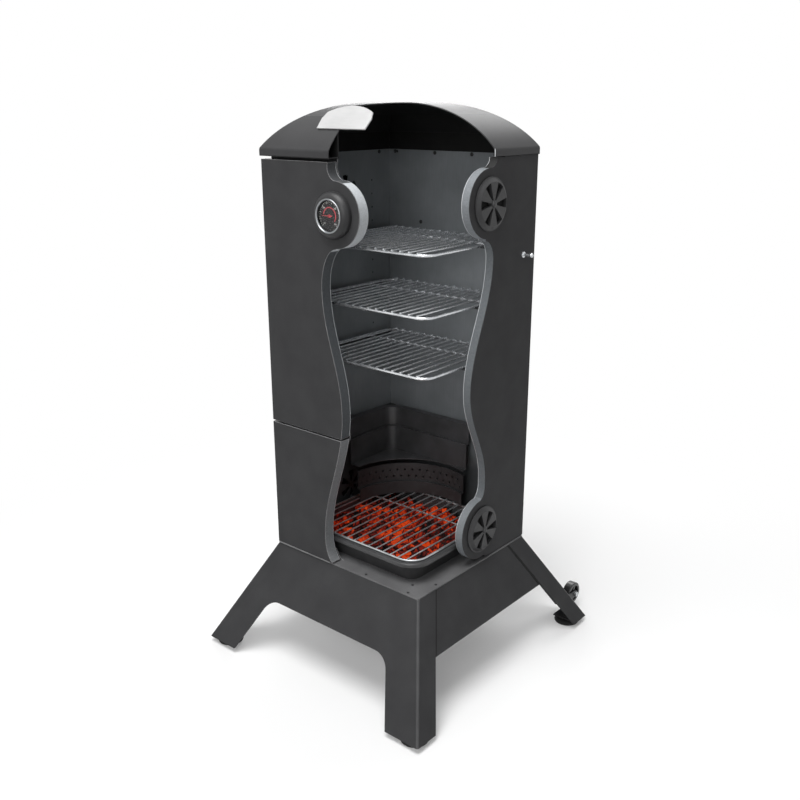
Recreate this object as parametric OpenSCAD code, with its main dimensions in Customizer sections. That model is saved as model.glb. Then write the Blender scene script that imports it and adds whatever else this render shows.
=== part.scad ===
// Vertical water smoker, shown cut away at its front right corner.
// Millimetres, +Z up, doors facing -Y, origin on the floor at the middle of the footprint.

/* [Cabinet] */
// Outside width of the cabinet
cab_w = 420; // [380:1:520]
// Depth from the door fronts to the back panel
cab_d = 405; // [370:1:520]
// Height of the cabinet walls above the base deck
cab_h = 887; // [760:1:1100]
// Thickness of the insulated double wall
wall_t = 20; // [16:1:32]
// Sheet thickness of the outer skins
skin_t = 1.5; // [0.8:0.1:2.5]
// Sheet thickness of the inner liners
liner_t = 1.2; // [0.8:0.1:2]
// Width of the steel round the door openings
frame_w = 32; // [24:1:45]

/* [Doors] */
// Thickness of the doors
door_t = 26; // [20:1:34]
// Space between door and frame that the seal fills
seal_gap = 2.5; // [2:0.1:5]
// Width of the rope seal
seal_w = 12; // [8:1:18]
// Height of the joint between the doors above the deck
door_split = 306.015; // [280:0.001:360]
// Gap between the two doors
door_gap = 4; // [3:0.5:8]
// Gap under the lower door
sill_gap = 3; // [2:0.5:8]
// Gap from the upper door to the top of the walls
head_gap = 6; // [4:0.5:12]

/* [Roof] */
// Height of the vault above its eaves
roof_rise = 90; // [70:1:110]
// Distance from an eave to where the vault is level
roof_run = 165; // [140:1:180]
// Height of the upright band along the eaves
fascia_h = 13; // [8:1:24]
// Bend radius where the vault turns down into that band
eave_r = 10; // [6:0.5:16]
// Overhang of the roof past the walls and doors
roof_lip = 2; // [1:0.5:8]
// Sheet thickness of the roof
roof_t = 2; // [1.2:0.1:3]

/* [Base] */
// Height of the deck above the feet
base_h = 238; // [200:1:280]
// Height of the rubber feet
foot_h = 12; // [8:1:20]
// Ledge of the deck beyond each side of the cabinet
deck_ledge = 3; // [0:0.5:12]
// Distance of the deck's front and back edges inside the door fronts and the back panel
deck_inset = 5.5; // [0:0.5:10]
// Outward lean of the legs to each side
splay_x = 112; // [80:1:130]
// Outward lean of the legs to front and back
splay_y = 138; // [100:1:160]
// Sheet thickness of the base
base_t = 2.5; // [2:0.1:4]
// Width of each leg along the front
leg_w = 88; // [70:1:110]
// Width of the flange that each leg turns round the side
leg_flange = 54; // [40:1:70]
// Depth of the aprons below the deck
apron_drop = 116; // [80:1:130]
// Fillet at the corners of the leg arch
arch_r = 45; // [20:1:60]
// Outside bend radius of the leg corners
bend_r = 6; // [4:0.5:12]

/* [Racks] */
// Gap between a cooking rack and each side wall
rack_gap = 11; // [8:0.5:13]
// Free depth in front of and behind a cooking rack
rack_free = 52; // [40:1:90]
// Depth of the top rack below the top of the walls
rack_down = 180.061; // [150:0.001:220]
// Spacing of the racks
rack_step = 125.067; // [100:0.001:160]
// Diameter of the rack's frame wire
rack_wire = 6; // [5:0.5:8]
// Diameter of the rack's rods
rack_rod = 4; // [3:0.5:5]
// Number of rods across a rack
rack_rods = 15; // [9:1:24]
// Corner radius of the rack's frame
rack_r = 28; // [15:1:45]

/* [Fire] */
// Gap between the charcoal tray and each side wall
tray_gap = 8; // [5:0.5:14]
// Free depth in front of and behind the charcoal tray
tray_free = 26; // [16:1:60]
// Height of the charcoal tray
tray_h = 50; // [40:1:70]
// Corner radius of the charcoal tray
tray_r = 50; // [30:1:70]
// Width of the tray's flat rim
tray_rim = 14; // [10:0.5:18]
// Inward slope of the tray's walls from rim to floor
tray_slope = 12; // [4:1:18]
// Gap between the perforated charcoal ring and the nearest wall
ring_gap = 28; // [22:1:40]
// Height of the charcoal ring
ring_h = 77; // [60:1:84]
// Gap between the charcoal ring and the water pan
pan_gap = 11.804; // [8:0.001:24]
// Depth of the water pan
pan_h = 112; // [80:1:118]
// Depth of the step in the water pan's walls
pan_step = 49; // [30:1:60]
// Corner radius of the water pan
pan_r = 54; // [35:1:60]
// Sheet thickness of tray, ring and pan
pan_t = 1.6; // [1:0.1:2.5]

/* [Fittings] */
// Diameter of the thermometer's housing
thermo_d = 93; // [80:1:110]
// Height of the thermometer above the door
thermo_h = 20; // [14:1:26]
// Depth of the thermometer below the top of the walls
thermo_down = 107; // [95:1:140]
// Diameter of a damper
damper_d = 108; // [90:1:120]
// Height of a damper above its vent plate
damper_h = 8; // [6:0.5:14]
// Distance of the dampers behind the cabinet's centre
damper_y = 30; // [10:1:60]
// Height of the lower dampers above the deck
damper_low = 78; // [72:1:110]
// Depth of the upper dampers below the top of the walls
damper_down = 90; // [75:1:120]
// Diameter of a hinge pin
pin_d = 5; // [4:0.5:7]
// Length of a hinge
hinge_len = 60; // [45:1:80]
// Diameter of a wheel
wheel_d = 56; // [45:1:64]
// Width of a wheel
wheel_w = 20; // [14:1:26]
// Diameter of a wheel's axle bolt
axle_d = 8; // [6:0.5:10]
// Radial clearance of running fits
run_fit = 0.05; // [0.02:0.01:0.1]
// Gap between parts that pass each other
pass_gap = 0.4; // [0.3:0.05:0.8]

/* [Cutaway] */
// Remove the front right corner to show the inside
cutaway = true; // [true, false]
// Margin of wall kept round the thermometer
keep_thermo = 20; // [12:1:30]
// Margin of wall kept round a damper
keep_damper = 16.5; // [12:0.5:30]

/* [Hidden] */
$fn = 64;
deck_top = foot_h + base_h;
cab_top = deck_top + cab_h;
half_w = cab_w / 2;
half_d = cab_d / 2;
in_w = half_w - wall_t;
in_back = half_d - wall_t;
wall_front = -half_d + door_t + seal_gap;
split_z = deck_top + door_split;
door_low = deck_top + sill_gap;
door_high = cab_top - head_gap;
eave_z = cab_top + roof_t + fascia_h;
roof_r = (roof_run * roof_run + roof_rise * roof_rise) / (2 * roof_rise);
thermo_c = cab_top - thermo_down;
damper_zs = [deck_top + damper_low, cab_top - damper_down];
far = 2000;
eps = 0.2;

// Base size at the deck.
base_w = cab_w + 2 * deck_ledge;
base_d = cab_d - 2 * deck_inset;

// Base planes: unit normals of the leaning front and side sheets.
front_len = norm([base_h, splay_y]);
side_len = norm([base_h, splay_x]);
front_n = [0, -base_h / front_len, splay_y / front_len];
side_n = [base_h / side_len, 0, splay_x / side_len];
lean_front = atan2(splay_y, base_h);
lean_side = atan2(splay_x, base_h);
panel_top = deck_top - base_t;
foot_in = [36, 34];

// Hinge line beside the left wall.
hinge_x = -half_w - 7;
hinge_y = -half_d + door_t - 1;
knuckle_r = 5;
hinge_zs = [deck_top + 60, split_z - 60, split_z + 70, door_high - 70];

// Thermometer and damper details.
thermo_face_r = thermo_d / 2 - 12.5;
dial_r = thermo_face_r - 2;
stem_r = 4;
petals = 6;
petal_turn = 26;
petal_out = damper_d / 2 - 10;
slot_out = damper_d / 2 - 16;
petal_in = 9;
rivet_r = 3;
plate_t = 1.5;
peg_r = 3;
peg_in = wall_t - liner_t - 0.8;
vent_r = slot_out + 4;

// Wheel place: clear of the rear panel, above the floor.
wheel_x = base_w / 2 + splay_x - 62;
wheel_off = wheel_d / 2 + 11;
wheel_up = 14;

// Half the distance by which the wheels reach further back than the front legs reach forward.
stand_y = (wheel_off * base_h / front_len - wheel_up * splay_y / front_len + wheel_d / 2) / 2;

// Rack and tray places.
rack_w = 2 * (in_w - rack_gap);
rack_d = in_back - wall_front - rack_free;
rack_y = in_back - 12 - rack_d / 2;
rack_z = cab_h - rack_down - 2 * rack_step;
tray_w = 2 * (in_w - tray_gap);
tray_d = in_back - wall_front - tray_free;
tray_y = wall_front + 2 + tray_d / 2;
tray_top = deck_top + tray_h;
tray_floor = tray_rim + tray_slope;
grate_in = 9;
ring_c = [14, 2];
ring_r = min(in_w, in_back - ring_c[1]) - ring_gap;
rail_w = 18;
rail_t = 2;
ring_z = tray_top + 5 + 3.1 + 0.1;
pan_rim_z = ring_z + ring_h + pan_gap + pan_h;
rim_t = 3;
pan_y = in_back - 4 - (in_back - wall_front - 10) / 2;
pan_w = 2 * in_w - 4;
pan_d = in_back - wall_front - 10;

paint = [0.24, 0.24, 0.25];
black = [0.07, 0.07, 0.07];
bright = [0.62, 0.64, 0.66];
chrome = [0.85, 0.86, 0.88];
wool = [0.72, 0.73, 0.74];

// Shared shapes

// Colours a piece and sets it over the middle of the floor it stands on.
module finish(tone) {
    color(tone)
        translate([0, -stand_y, 0])
            children();
}

function arc(c, r, a0, a1, n) =
    [for (i = [0:n]) [c[0] + r * cos(a0 + (a1 - a0) * i / n), c[1] + r * sin(a0 + (a1 - a0) * i / n)]];

function wave(p, q, n) =
    [for (i = [0:n]) [p[0] + (q[0] - p[0]) * (1 - cos(180 * i / n)) / 2, p[1] + (q[1] - p[1]) * i / n]];

module box(lo, hi) {
    translate(lo)
        cube(hi - lo);
}

module round_rect(w, d, r) {
    square([w - 2 * r, d], center = true);
    square([w, d - 2 * r], center = true);
    for (x = [-1, 1], y = [-1, 1])
        translate([x * (w / 2 - r), y * (d / 2 - r)])
            circle(r);
}

module both_sides() {
    children();
    mirror([1, 0, 0])
        children();
}

// Lays a flat outline on the front plane: outline x runs along +X, outline y runs along +Z.
module upright(y0, y1) {
    translate([0, y1, 0])
        rotate([90, 0, 0])
            linear_extrude(y1 - y0)
                children();
}

// Lays a flat outline on a side plane: outline x runs along +Y, outline y runs along +Z.
module sideways(x0, x1) {
    translate([x0, 0, 0])
        rotate([90, 0, 90])
            linear_extrude(x1 - x0)
                children();
}

// Wave-shaped cuts of the display opening

// Height in the wall, from the deck up, of each turn of the front wave.
front_low = 62;
front_mid = 0.408 * cab_h;
front_high = 0.706 * cab_h;

module front_kept() {
    polygon(concat(
        [[-far, deck_top - 20], [-24, deck_top - 20]],
        [for (i = [0:6]) [-24 - 29 * sin(15 * i), deck_top + front_low * (1 - cos(15 * i))]],
        wave([-53, deck_top + front_low], [8, deck_top + front_mid], 14),
        wave([8, deck_top + front_mid], [-42, deck_top + front_high], 14),
        [for (i = [0:8]) [1 - 43 * cos(11.25 * i), deck_top + front_high + 86 * sin(11.25 * i)]],
        [[4, thermo_c]],
        arc([8, thermo_c + thermo_d / 2 + keep_thermo + 24.5], 26, 270, 160, 10),
        [[-16.4, far], [-far, far]]
    ));
    translate([0, thermo_c])
        circle(thermo_d / 2 + keep_thermo);
}

side_low = damper_low + 119;
side_mid = 0.459 * cab_h;
side_high = cab_h - damper_down - 114;

module side_kept() {
    polygon(concat(
        [[far, deck_top - 20], [54, deck_top - 20], [54, deck_top], [38, deck_top + 13],
            [17, deck_top + damper_low]],
        [for (i = [0:8]) [17 + 24 * sin(11.25 * i), deck_top + side_low - 17 - 34 * cos(11.25 * i)]],
        wave([41, deck_top + side_low], [-22, deck_top + side_mid], 14),
        wave([-22, deck_top + side_mid], [48, deck_top + side_high], 14),
        [for (i = [0:8]) [20 + 28 * cos(11.25 * i), deck_top + side_high + 40 * sin(11.25 * i)]],
        [[20, damper_zs[1]]],
        arc([31, cab_top + 1], 20.5, 270, 360, 8),
        [[51.5, far], [far, far]]
    ));
    for (z = damper_zs)
        translate([damper_y, z])
            circle(damper_d / 2 + keep_damper);
}

module front_cut() {
    if (cutaway)
        upright(-far, wall_front + 20)
            difference() {
                square(2 * far, center = true);
                front_kept();
            }
}

module side_cut() {
    if (cutaway)
        sideways(in_w - rail_w - 4, far)
            difference() {
                square(2 * far, center = true);
                side_kept();
            }
}

module roof_cut() {
    if (cutaway)
        translate([0, 0, cab_top - eps])
            linear_extrude(far)
                polygon([[-11, -far], [-12, -half_d + 34], [-44, -86], [half_w, 41],
                    [far, 41], [far, -far]]);
}

// Opening cut into the fire parts inside: everything in front of the middle and to the right.
module fire_cut(scoop) {
    if (cutaway)
        translate([0, 0, deck_top])
            linear_extrude(far) {
                translate([-far, -far])
                    square([2 * far, far]);
                translate([75, -far])
                    square(2 * far);
                if (scoop > 0)
                    translate(ring_c)
                        circle(scoop, $fn = 128);
            }
}

// Base

// Frame of the leaning front sheet: outline x along +X, outline y up the slope from the floor edge.
module on_front() {
    translate([0, -base_d / 2 - splay_y, foot_h])
        rotate([90 - lean_front, 0, 0])
            children();
}

// Frame of the leaning right sheet: outline x along +Y, outline y up the slope.
module on_right() {
    translate([base_w / 2 + splay_x, 0, foot_h])
        rotate([0, 0, 90])
            rotate([90 - lean_side, 0, 0])
                children();
}

module base_slab() {
    box([-far, -far, foot_h], [far, far, panel_top]);
}

// Outline of the front sheet inside its corner bends, with the arch cut out between the legs.
module front_outline() {
    run = splay_x / front_len;
    trim = bend_r * tan(acos(front_n * side_n) / 2);
    half_low = base_w / 2 + splay_x - trim;
    arch_y = (base_h - apron_drop) * front_len / base_h;
    foot_x = base_w / 2 + splay_x - leg_w;
    lean = atan(run);
    cy = arch_y - arch_r;
    cx = foot_x - run * cy - arch_r / cos(lean);
    difference() {
        polygon([[-half_low, 0], [half_low, 0], [half_low - splay_x, front_len],
            [-half_low + splay_x, front_len]]);
        polygon(concat(
            [[-foot_x - run * 20, -20], [foot_x + run * 20, -20]],
            arc([cx, cy], arch_r, lean, 90, 10),
            arc([-cx, cy], arch_r, 90, 180 - lean, 10)
        ));
    }
}

// Flange that turns round the side at each leg, seen on the right sheet.
module flange_outline() {
    run = splay_y / side_len;
    trim = bend_r * tan(acos(front_n * side_n) / 2);
    low = -base_d / 2 - splay_y + trim;
    polygon([[low, 0], [low + leg_flange, 0], [low + leg_flange + splay_y, side_len],
        [low + splay_y, side_len]]);
}

// Rolled corner between the front sheet and its right flange.
module corner_bend() {
    turn = acos(front_n * side_n);
    foot = [base_w / 2 + splay_x, -base_d / 2 - splay_y, foot_h];
    head = [base_w / 2, -base_d / 2, deck_top];
    along = (head - foot) / norm(head - foot);
    centre = foot - bend_r / (1 + front_n * side_n) * (front_n + side_n);
    across = cross(along, front_n);
    multmatrix([[front_n[0], across[0], along[0], centre[0]],
        [front_n[1], across[1], along[1], centre[1]],
        [front_n[2], across[2], along[2], centre[2]],
        [0, 0, 0, 1]])
        translate([0, 0, -40])
            rotate_extrude(angle = turn)
                translate([bend_r - base_t, 0])
                    square([base_t, norm(head - foot) + 80]);
}

module foot_tab() {
    x = base_w / 2 + splay_x;
    y = base_d / 2 + splay_y;
    difference() {
        box([x - 64, -y + 2.2, foot_h], [x - 2.2, -y + 52, foot_h + base_t]);
        translate([x - foot_in[0], -y + foot_in[1], 0])
            cylinder(r = 4.3, h = far);
    }
}

module leg_panel() {
    intersection() {
        base_slab();
        union() {
            on_front()
                translate([0, 0, -base_t])
                    linear_extrude(base_t)
                        front_outline();
            both_sides() {
                on_right()
                    translate([0, 0, -base_t])
                        linear_extrude(base_t)
                            flange_outline();
                corner_bend();
            }
        }
    }
    both_sides()
        foot_tab();
}

module front_leg_panel() {
    finish(paint)
        leg_panel();
}

module rear_leg_panel() {
    finish(paint)
        mirror([0, 1, 0])
            leg_panel();
}

// Flat apron between two legs, lying against the inside of their flanges.
module apron() {
    run = splay_y / side_len;
    overlap = 18;
    drop = apron_drop * side_len / base_h;
    top_half = base_d / 2 - leg_flange + overlap;
    low_half = top_half + run * drop;
    intersection() {
        base_slab();
        on_right()
            translate([0, 0, -2 * base_t])
                linear_extrude(base_t)
                    polygon([[-low_half, side_len - drop], [low_half, side_len - drop],
                        [top_half, side_len], [-top_half, side_len]]);
    }
}

module side_aprons() {
    finish(paint)
        both_sides()
            apron();
}

deck_spots = [[57, 8], [166, 38], [179, 7], [203, 72]];
deck_holes = [for (s = [-1, 1], p = deck_spots) [s * p[0], p[1] - base_d / 2]];

module base_deck() {
    finish(paint)
        difference() {
            box([-base_w / 2, -base_d / 2, panel_top], [base_w / 2, base_d / 2, deck_top]);
            for (p = deck_holes)
                translate([p[0], p[1], 0])
                    cylinder(r = 2, h = far);
        }
}

module levelling_feet() {
    x = base_w / 2 + splay_x - foot_in[0];
    y = base_d / 2 + splay_y - foot_in[1];
    finish(black)
        for (sx = [-1, 1], sy = [-1, 1])
            translate([sx * x, sy * y, 0])
                rotate_extrude()
                    polygon([[0, 0], [14, 0], [16, 2], [16, foot_h - 4], [12, foot_h],
                        [4, foot_h], [4, foot_h + base_t], [7, foot_h + base_t],
                        [7, foot_h + base_t + 5], [4, foot_h + base_t + 6], [0, foot_h + base_t + 6]]);
}

// Wheels

// Frame on the outside of the rear sheet at the right wheel: z points away from the sheet.
module at_wheel() {
    mirror([0, 1, 0])
        on_front()
            translate([wheel_x, wheel_up, 0])
                children();
}

cheek_t = 2.5;
cheek_in = wheel_w / 2 + 1;

module wheel_bracket() {
    base_y = 34;
    at_wheel() {
        translate([-cheek_in - cheek_t, 4, 0])
            cube([2 * (cheek_in + cheek_t), base_y, cheek_t]);
        for (x = [-cheek_in - cheek_t, cheek_in])
            translate([x, 0, 0])
                rotate([90, 0, 90])
                    linear_extrude(cheek_t)
                        difference() {
                            union() {
                                polygon([[4, 0], [4 + base_y, 0], [6, wheel_off + 6], [-7, wheel_off - 3]]);
                                translate([0, wheel_off])
                                    circle(9);
                            }
                            translate([0, wheel_off])
                                circle(axle_d / 2 + run_fit);
                        }
    }
}

module wheel_brackets() {
    finish(black)
        both_sides()
            wheel_bracket();
}

module wheel() {
    r = wheel_d / 2;
    w = wheel_w / 2;
    difference() {
        union() {
            rotate_extrude()
                polygon([[r - 8, -w], [r - 2, -w], [r, -w + 2], [r, w - 2], [r - 2, w], [r - 8, w]]);
            cylinder(r = axle_d / 2 + 4, h = wheel_w, center = true);
            for (a = [0:72:288])
                rotate([0, 0, a])
                    box([axle_d / 2 + 2, -2.5, -w + 3], [r - 7, 2.5, w - 3]);
        }
        cylinder(r = axle_d / 2 + run_fit, h = far, center = true);
    }
}

module right_wheel() {
    finish(black)
        at_wheel()
            translate([0, 0, wheel_off])
                rotate([0, 90, 0])
                    wheel();
}

module left_wheel() {
    finish(black)
        mirror([1, 0, 0])
            at_wheel()
                translate([0, 0, wheel_off])
                    rotate([0, 90, 0])
                        wheel();
}

module axle_bolts() {
    out = cheek_in + cheek_t;
    finish(chrome)
        both_sides()
            at_wheel()
                translate([0, 0, wheel_off])
                    rotate([0, 90, 0]) {
                        cylinder(r = axle_d / 2, h = 2 * out + 8, center = true);
                        translate([0, 0, out])
                            cylinder(r = axle_d * 0.8, h = 5, $fn = 6);
                        translate([0, 0, -out - 4])
                            cylinder(r = axle_d * 0.9, h = 4);
                    }
}

// Cabinet walls

module petal_slots(out) {
    for (i = [0:petals - 1])
        rotate(360 / petals * i)
            intersection() {
                difference() {
                    circle(out);
                    circle(petal_in);
                }
                polygon([[0, 0], far / 4 * [cos(petal_turn / 2), sin(petal_turn / 2)],
                    far / 4 * [cos(petal_turn / 2), -sin(petal_turn / 2)]]);
            }
}

// Round or petal openings through a side wall behind the dampers, on the right.
module vent_holes(slots) {
    for (z = damper_zs)
        translate([0, damper_y, z])
            rotate([90, 0, 90])
                linear_extrude(far) {
                    if (slots)
                        rotate(30)
                            petal_slots(slot_out);
                    else
                        circle(vent_r);
                }
}

module right_wall_sheet(x0, x1, y0, y1, z0, z1, slots) {
    difference() {
        box([x0, y0, z0], [x1, y1, z1]);
        vent_holes(slots);
    }
}

module outer_side() {
    right_wall_sheet(half_w - skin_t, half_w, wall_front + skin_t, half_d, deck_top, cab_top, false);
}

module right_side_panel() {
    finish(paint)
        difference() {
            outer_side();
            side_cut();
            peg_hole();
        }
}

module left_side_panel() {
    finish(paint)
        mirror([1, 0, 0])
            outer_side();
}

module back_panel() {
    finish(paint)
        box([-half_w + skin_t, half_d - skin_t, deck_top], [half_w - skin_t, half_d, cab_top]);
}

module side_core() {
    right_wall_sheet(in_w + liner_t, half_w - skin_t, wall_front + skin_t, half_d - skin_t,
        deck_top, cab_top, false);
}

module right_insulation() {
    finish(wool)
        difference() {
            side_core();
            side_cut();
            peg_hole();
        }
}

module left_insulation() {
    finish(wool)
        mirror([1, 0, 0])
            side_core();
}

module back_insulation() {
    finish(wool)
        box([-in_w - liner_t, in_back + liner_t, deck_top], [in_w + liner_t, half_d - skin_t, cab_top]);
}

// Inner sheet of a side wall, with a column of small holes near its back edge.
module side_liner() {
    difference() {
        right_wall_sheet(in_w, in_w + liner_t, wall_front + skin_t, in_back + liner_t,
            deck_top, cab_top, true);
        for (i = [0:13])
            translate([in_w, in_back - 63, cab_top - 68 - 31 * i])
                rotate([0, 90, 0])
                    cylinder(r = 2.5, h = 20, center = true);
        translate([in_w, in_back - 37, cab_top - 4])
            rotate([0, 90, 0])
                cylinder(r = 3.2, h = 20, center = true);
    }
}

module right_liner() {
    finish(bright)
        difference() {
            side_liner();
            side_cut();
        }
}

module left_liner() {
    finish(bright)
        mirror([1, 0, 0])
            side_liner();
}

module back_liner() {
    finish(bright)
        difference() {
            box([-in_w, in_back, deck_top], [in_w, in_back + liner_t, cab_top]);
            for (x = [-166, -53, 51, 155])
                translate([x, in_back, cab_top - 5])
                    rotate([90, 0, 0])
                        cylinder(r = 3.2, h = 20, center = true);
            for (x = [-93, 93])
                translate([x, in_back, cab_top - 163])
                    rotate([90, 0, 0])
                        cylinder(r = 2.5, h = 20, center = true);
        }
}

module front_frame() {
    open_w = half_w - frame_w;
    finish(paint)
        difference() {
            box([-half_w, wall_front, deck_top], [half_w, wall_front + skin_t, cab_top]);
            box([-open_w, -far, deck_top + frame_w - 8], [open_w, far, split_z - frame_w / 3]);
            box([-open_w, -far, split_z + frame_w / 3], [open_w, far, cab_top - frame_w]);
            front_cut();
        }
}

// Angle rails fixed to the side liners; their shelf carries a rack or the pan.
module rail(z, y0, y1) {
    box([in_w - rail_t, y0, z - 12], [in_w, y1, z]);
    box([in_w - rail_w, y0, z - rail_t], [in_w, y1, z]);
}

module rail_pair(z, y0, y1, behind) {
    difference() {
        rail(z, y0, y1);
        for (y = [0, behind])
            translate([0, y, 0])
                side_cut();
    }
    mirror([1, 0, 0])
        rail(z, y0, y1);
}

module rack_rails() {
    finish(bright)
        for (i = [0:2])
            rail_pair(deck_top + rack_z + i * rack_step - rack_wire / 2,
                rack_y - rack_d / 2 + 10, in_back - 2, 10);
}

module pan_rails() {
    finish(bright)
        rail_pair(pan_rim_z - rim_t, wall_front + 12, in_back - 2, 45);
}

// Roof

// Corner outside the bend between the vault's arc and the upright band, at the right eave.
module eave_corner(h, o) {
    c = eave_z + roof_rise - roof_r;
    up = sqrt(pow(roof_r - eave_r, 2) - pow(roof_run - eave_r, 2));
    turn = atan2(up, roof_run - eave_r);
    translate([h - eave_r, c + up])
        difference() {
            polygon([[0, 0], [3 * eave_r, 0], [3 * eave_r, 3 * eave_r],
                3 * eave_r * [cos(turn), sin(turn)]]);
            circle(eave_r - o);
        }
}

// Arched outline of the vault, half width h, drawn in by o on every side.
module vault_outline(h, o, z0) {
    c = eave_z + roof_rise - roof_r;
    top = eave_z + roof_rise - o;
    difference() {
        intersection() {
            translate([-h + o, z0])
                square([2 * (h - o), top - z0]);
            union() {
                translate([-h, z0])
                    square([2 * h, eave_z - z0]);
                translate([-h + roof_run, z0])
                    square([2 * (h - roof_run), top - z0]);
                for (s = [-1, 1])
                    translate([s * (h - roof_run), c])
                        circle(roof_r - o, $fn = 128);
            }
        }
        for (s = [0, 1])
            mirror([s, 0])
                eave_corner(h, o);
    }
}

module vault(o, z0) {
    hx = half_w + roof_lip;
    hy = half_d + roof_lip;
    intersection() {
        upright(-hy + o, hy - o)
            vault_outline(hx, o, z0);
        sideways(-hx + o, hx - o)
            vault_outline(hy, o, z0);
    }
}

module roof_shell() {
    finish(paint)
        difference() {
            vault(0, cab_top + roof_t);
            vault(roof_t, cab_top - 1);
            roof_cut();
        }
}

// Plate under the roof that closes the double walls, with an upstand round the chamber's top.
module roof_soffit() {
    hx = half_w + roof_lip;
    hy = half_d + roof_lip;
    up = 47;
    front_in = wall_front - 2;
    finish(black)
        difference() {
            union() {
                box([-hx, -hy, cab_top], [hx, hy, cab_top + roof_t]);
                intersection() {
                    box([-in_w - roof_t, front_in, cab_top], [in_w + roof_t, in_back + roof_t, cab_top + up]);
                    vault(roof_t + 0.4, cab_top - 1);
                }
            }
            box([-in_w, front_in + roof_t, 0], [in_w, in_back, far]);
            for (y = [0, 35])
                translate([0, y, 0])
                    roof_cut();
        }
}

// Plain arched plaque leaning on the front slope of the roof, on two short posts.
module badge_plate() {
    w = 129;
    low = 26;
    bow_r = 120;
    lean = 47;
    foot_y = 33;
    post = 34;
    rise = sqrt(roof_r * roof_r - (roof_run - foot_y) * (roof_run - foot_y)) - roof_r + roof_rise;
    finish(chrome)
        difference() {
            translate([-8, -half_d - roof_lip + foot_y, eave_z + rise + 0.5])
                rotate([lean, 0, 0]) {
                    linear_extrude(3)
                        intersection() {
                            polygon([[-w / 2, 0], [w / 2, 0], [w / 2 + 2, low], [w / 2 - 20, 80],
                                [-w / 2 + 20, 80], [-w / 2 - 2, low]]);
                            translate([0, 58 - bow_r])
                                circle(bow_r, $fn = 128);
                        }
                    for (x = [-50, -12])
                        translate([x, post, -20])
                            cylinder(r = 3, h = 21);
                }
            vault(0, cab_top);
        }
}

// Doors

module door_block(z0, z1, inset, y0, y1) {
    box([-half_w + inset, y0, z0 + inset], [half_w - inset, y1, z1 - inset]);
}

module door_skin(z0, z1) {
    difference() {
        door_block(z0, z1, 0, -half_d, -half_d + door_t);
        door_block(z0, z1, skin_t, -half_d + skin_t, 0);
        stem_hole();
        front_cut();
    }
}

module door_core(z0, z1) {
    difference() {
        door_block(z0, z1, skin_t, -half_d + skin_t, -half_d + door_t - liner_t);
        stem_hole();
        front_cut();
    }
}

module door_liner(z0, z1) {
    difference() {
        door_block(z0, z1, skin_t, -half_d + door_t - liner_t, -half_d + door_t);
        stem_hole();
        front_cut();
    }
}

module door_seal(z0, z1) {
    y0 = -half_d + door_t;
    y1 = wall_front - 0.3;
    difference() {
        door_block(z0, z1, 6, y0, y1);
        door_block(z0, z1, 6 + seal_w, -far, far);
        front_cut();
    }
}

upper_low = split_z + door_gap / 2;
lower_high = split_z - door_gap / 2;

module upper_door_skin() {
    finish(paint)
        door_skin(upper_low, door_high);
}

module upper_door_insulation() {
    finish(wool)
        door_core(upper_low, door_high);
}

module upper_door_liner() {
    finish(bright)
        door_liner(upper_low, door_high);
}

module upper_door_seal() {
    finish(black)
        door_seal(upper_low, door_high);
}

module lower_door_skin() {
    finish(paint)
        door_skin(door_low, lower_high);
}

module lower_door_insulation() {
    finish(wool)
        door_core(door_low, lower_high);
}

module lower_door_liner() {
    finish(bright)
        door_liner(door_low, lower_high);
}

module lower_door_seal() {
    finish(black)
        door_seal(door_low, lower_high);
}

// Hinges: three knuckles, the middle one on the door

knuckle = hinge_len / 3;
leaf_t = 2.5;
leaf_gap = 5.5;

module knuckle_bore() {
    translate([hinge_x, hinge_y, 0])
        cylinder(r = pin_d / 2 + run_fit, h = far);
}

module body_leaf(z) {
    difference() {
        union() {
            for (s = [-1, 1])
                translate([hinge_x, hinge_y, z + s * knuckle - (knuckle - pass_gap) / 2]) {
                    cylinder(r = knuckle_r, h = knuckle - pass_gap);
                    translate([0, 1.6, 0])
                        cube([7, leaf_gap - 1.6, knuckle - pass_gap]);
                }
            box([-half_w - leaf_t, hinge_y + leaf_gap - eps, z - hinge_len / 2 + pass_gap / 2],
                [-half_w, hinge_y + leaf_gap + 26, z + hinge_len / 2 - pass_gap / 2]);
        }
        knuckle_bore();
    }
}

module door_leaf(z) {
    difference() {
        union() {
            translate([hinge_x, hinge_y, z - (knuckle - pass_gap) / 2]) {
                cylinder(r = knuckle_r, h = knuckle - pass_gap);
                translate([0, -leaf_gap, 0])
                    cube([7, leaf_gap, knuckle - pass_gap]);
            }
            box([-half_w - leaf_t, hinge_y - leaf_gap - 15, z - hinge_len / 2],
                [-half_w, hinge_y - leaf_gap + eps, z + hinge_len / 2]);
        }
        knuckle_bore();
    }
}

module body_hinge_leaves() {
    finish(black)
        for (z = hinge_zs)
            body_leaf(z);
}

module lower_door_hinge_leaves() {
    finish(black)
        for (i = [0, 1])
            door_leaf(hinge_zs[i]);
}

module upper_door_hinge_leaves() {
    finish(black)
        for (i = [2, 3])
            door_leaf(hinge_zs[i]);
}

module hinge_pins() {
    finish(chrome)
        for (z = hinge_zs)
            translate([hinge_x, hinge_y, z - hinge_len / 2]) {
                cylinder(r = pin_d / 2, h = hinge_len);
                translate([0, 0, hinge_len - pass_gap / 2])
                    cylinder(r = pin_d / 2 + 1.5, h = 2.5);
            }
}

// Thermometer on the upper door

// Frame on the door front: z points out of the door.
module at_thermo() {
    translate([0, -half_d, thermo_c])
        rotate([90, 0, 0])
            children();
}

module stem_hole() {
    at_thermo()
        cylinder(r = stem_r + run_fit, h = far, center = true);
}

dial_floor = thermo_h - 8;

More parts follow.
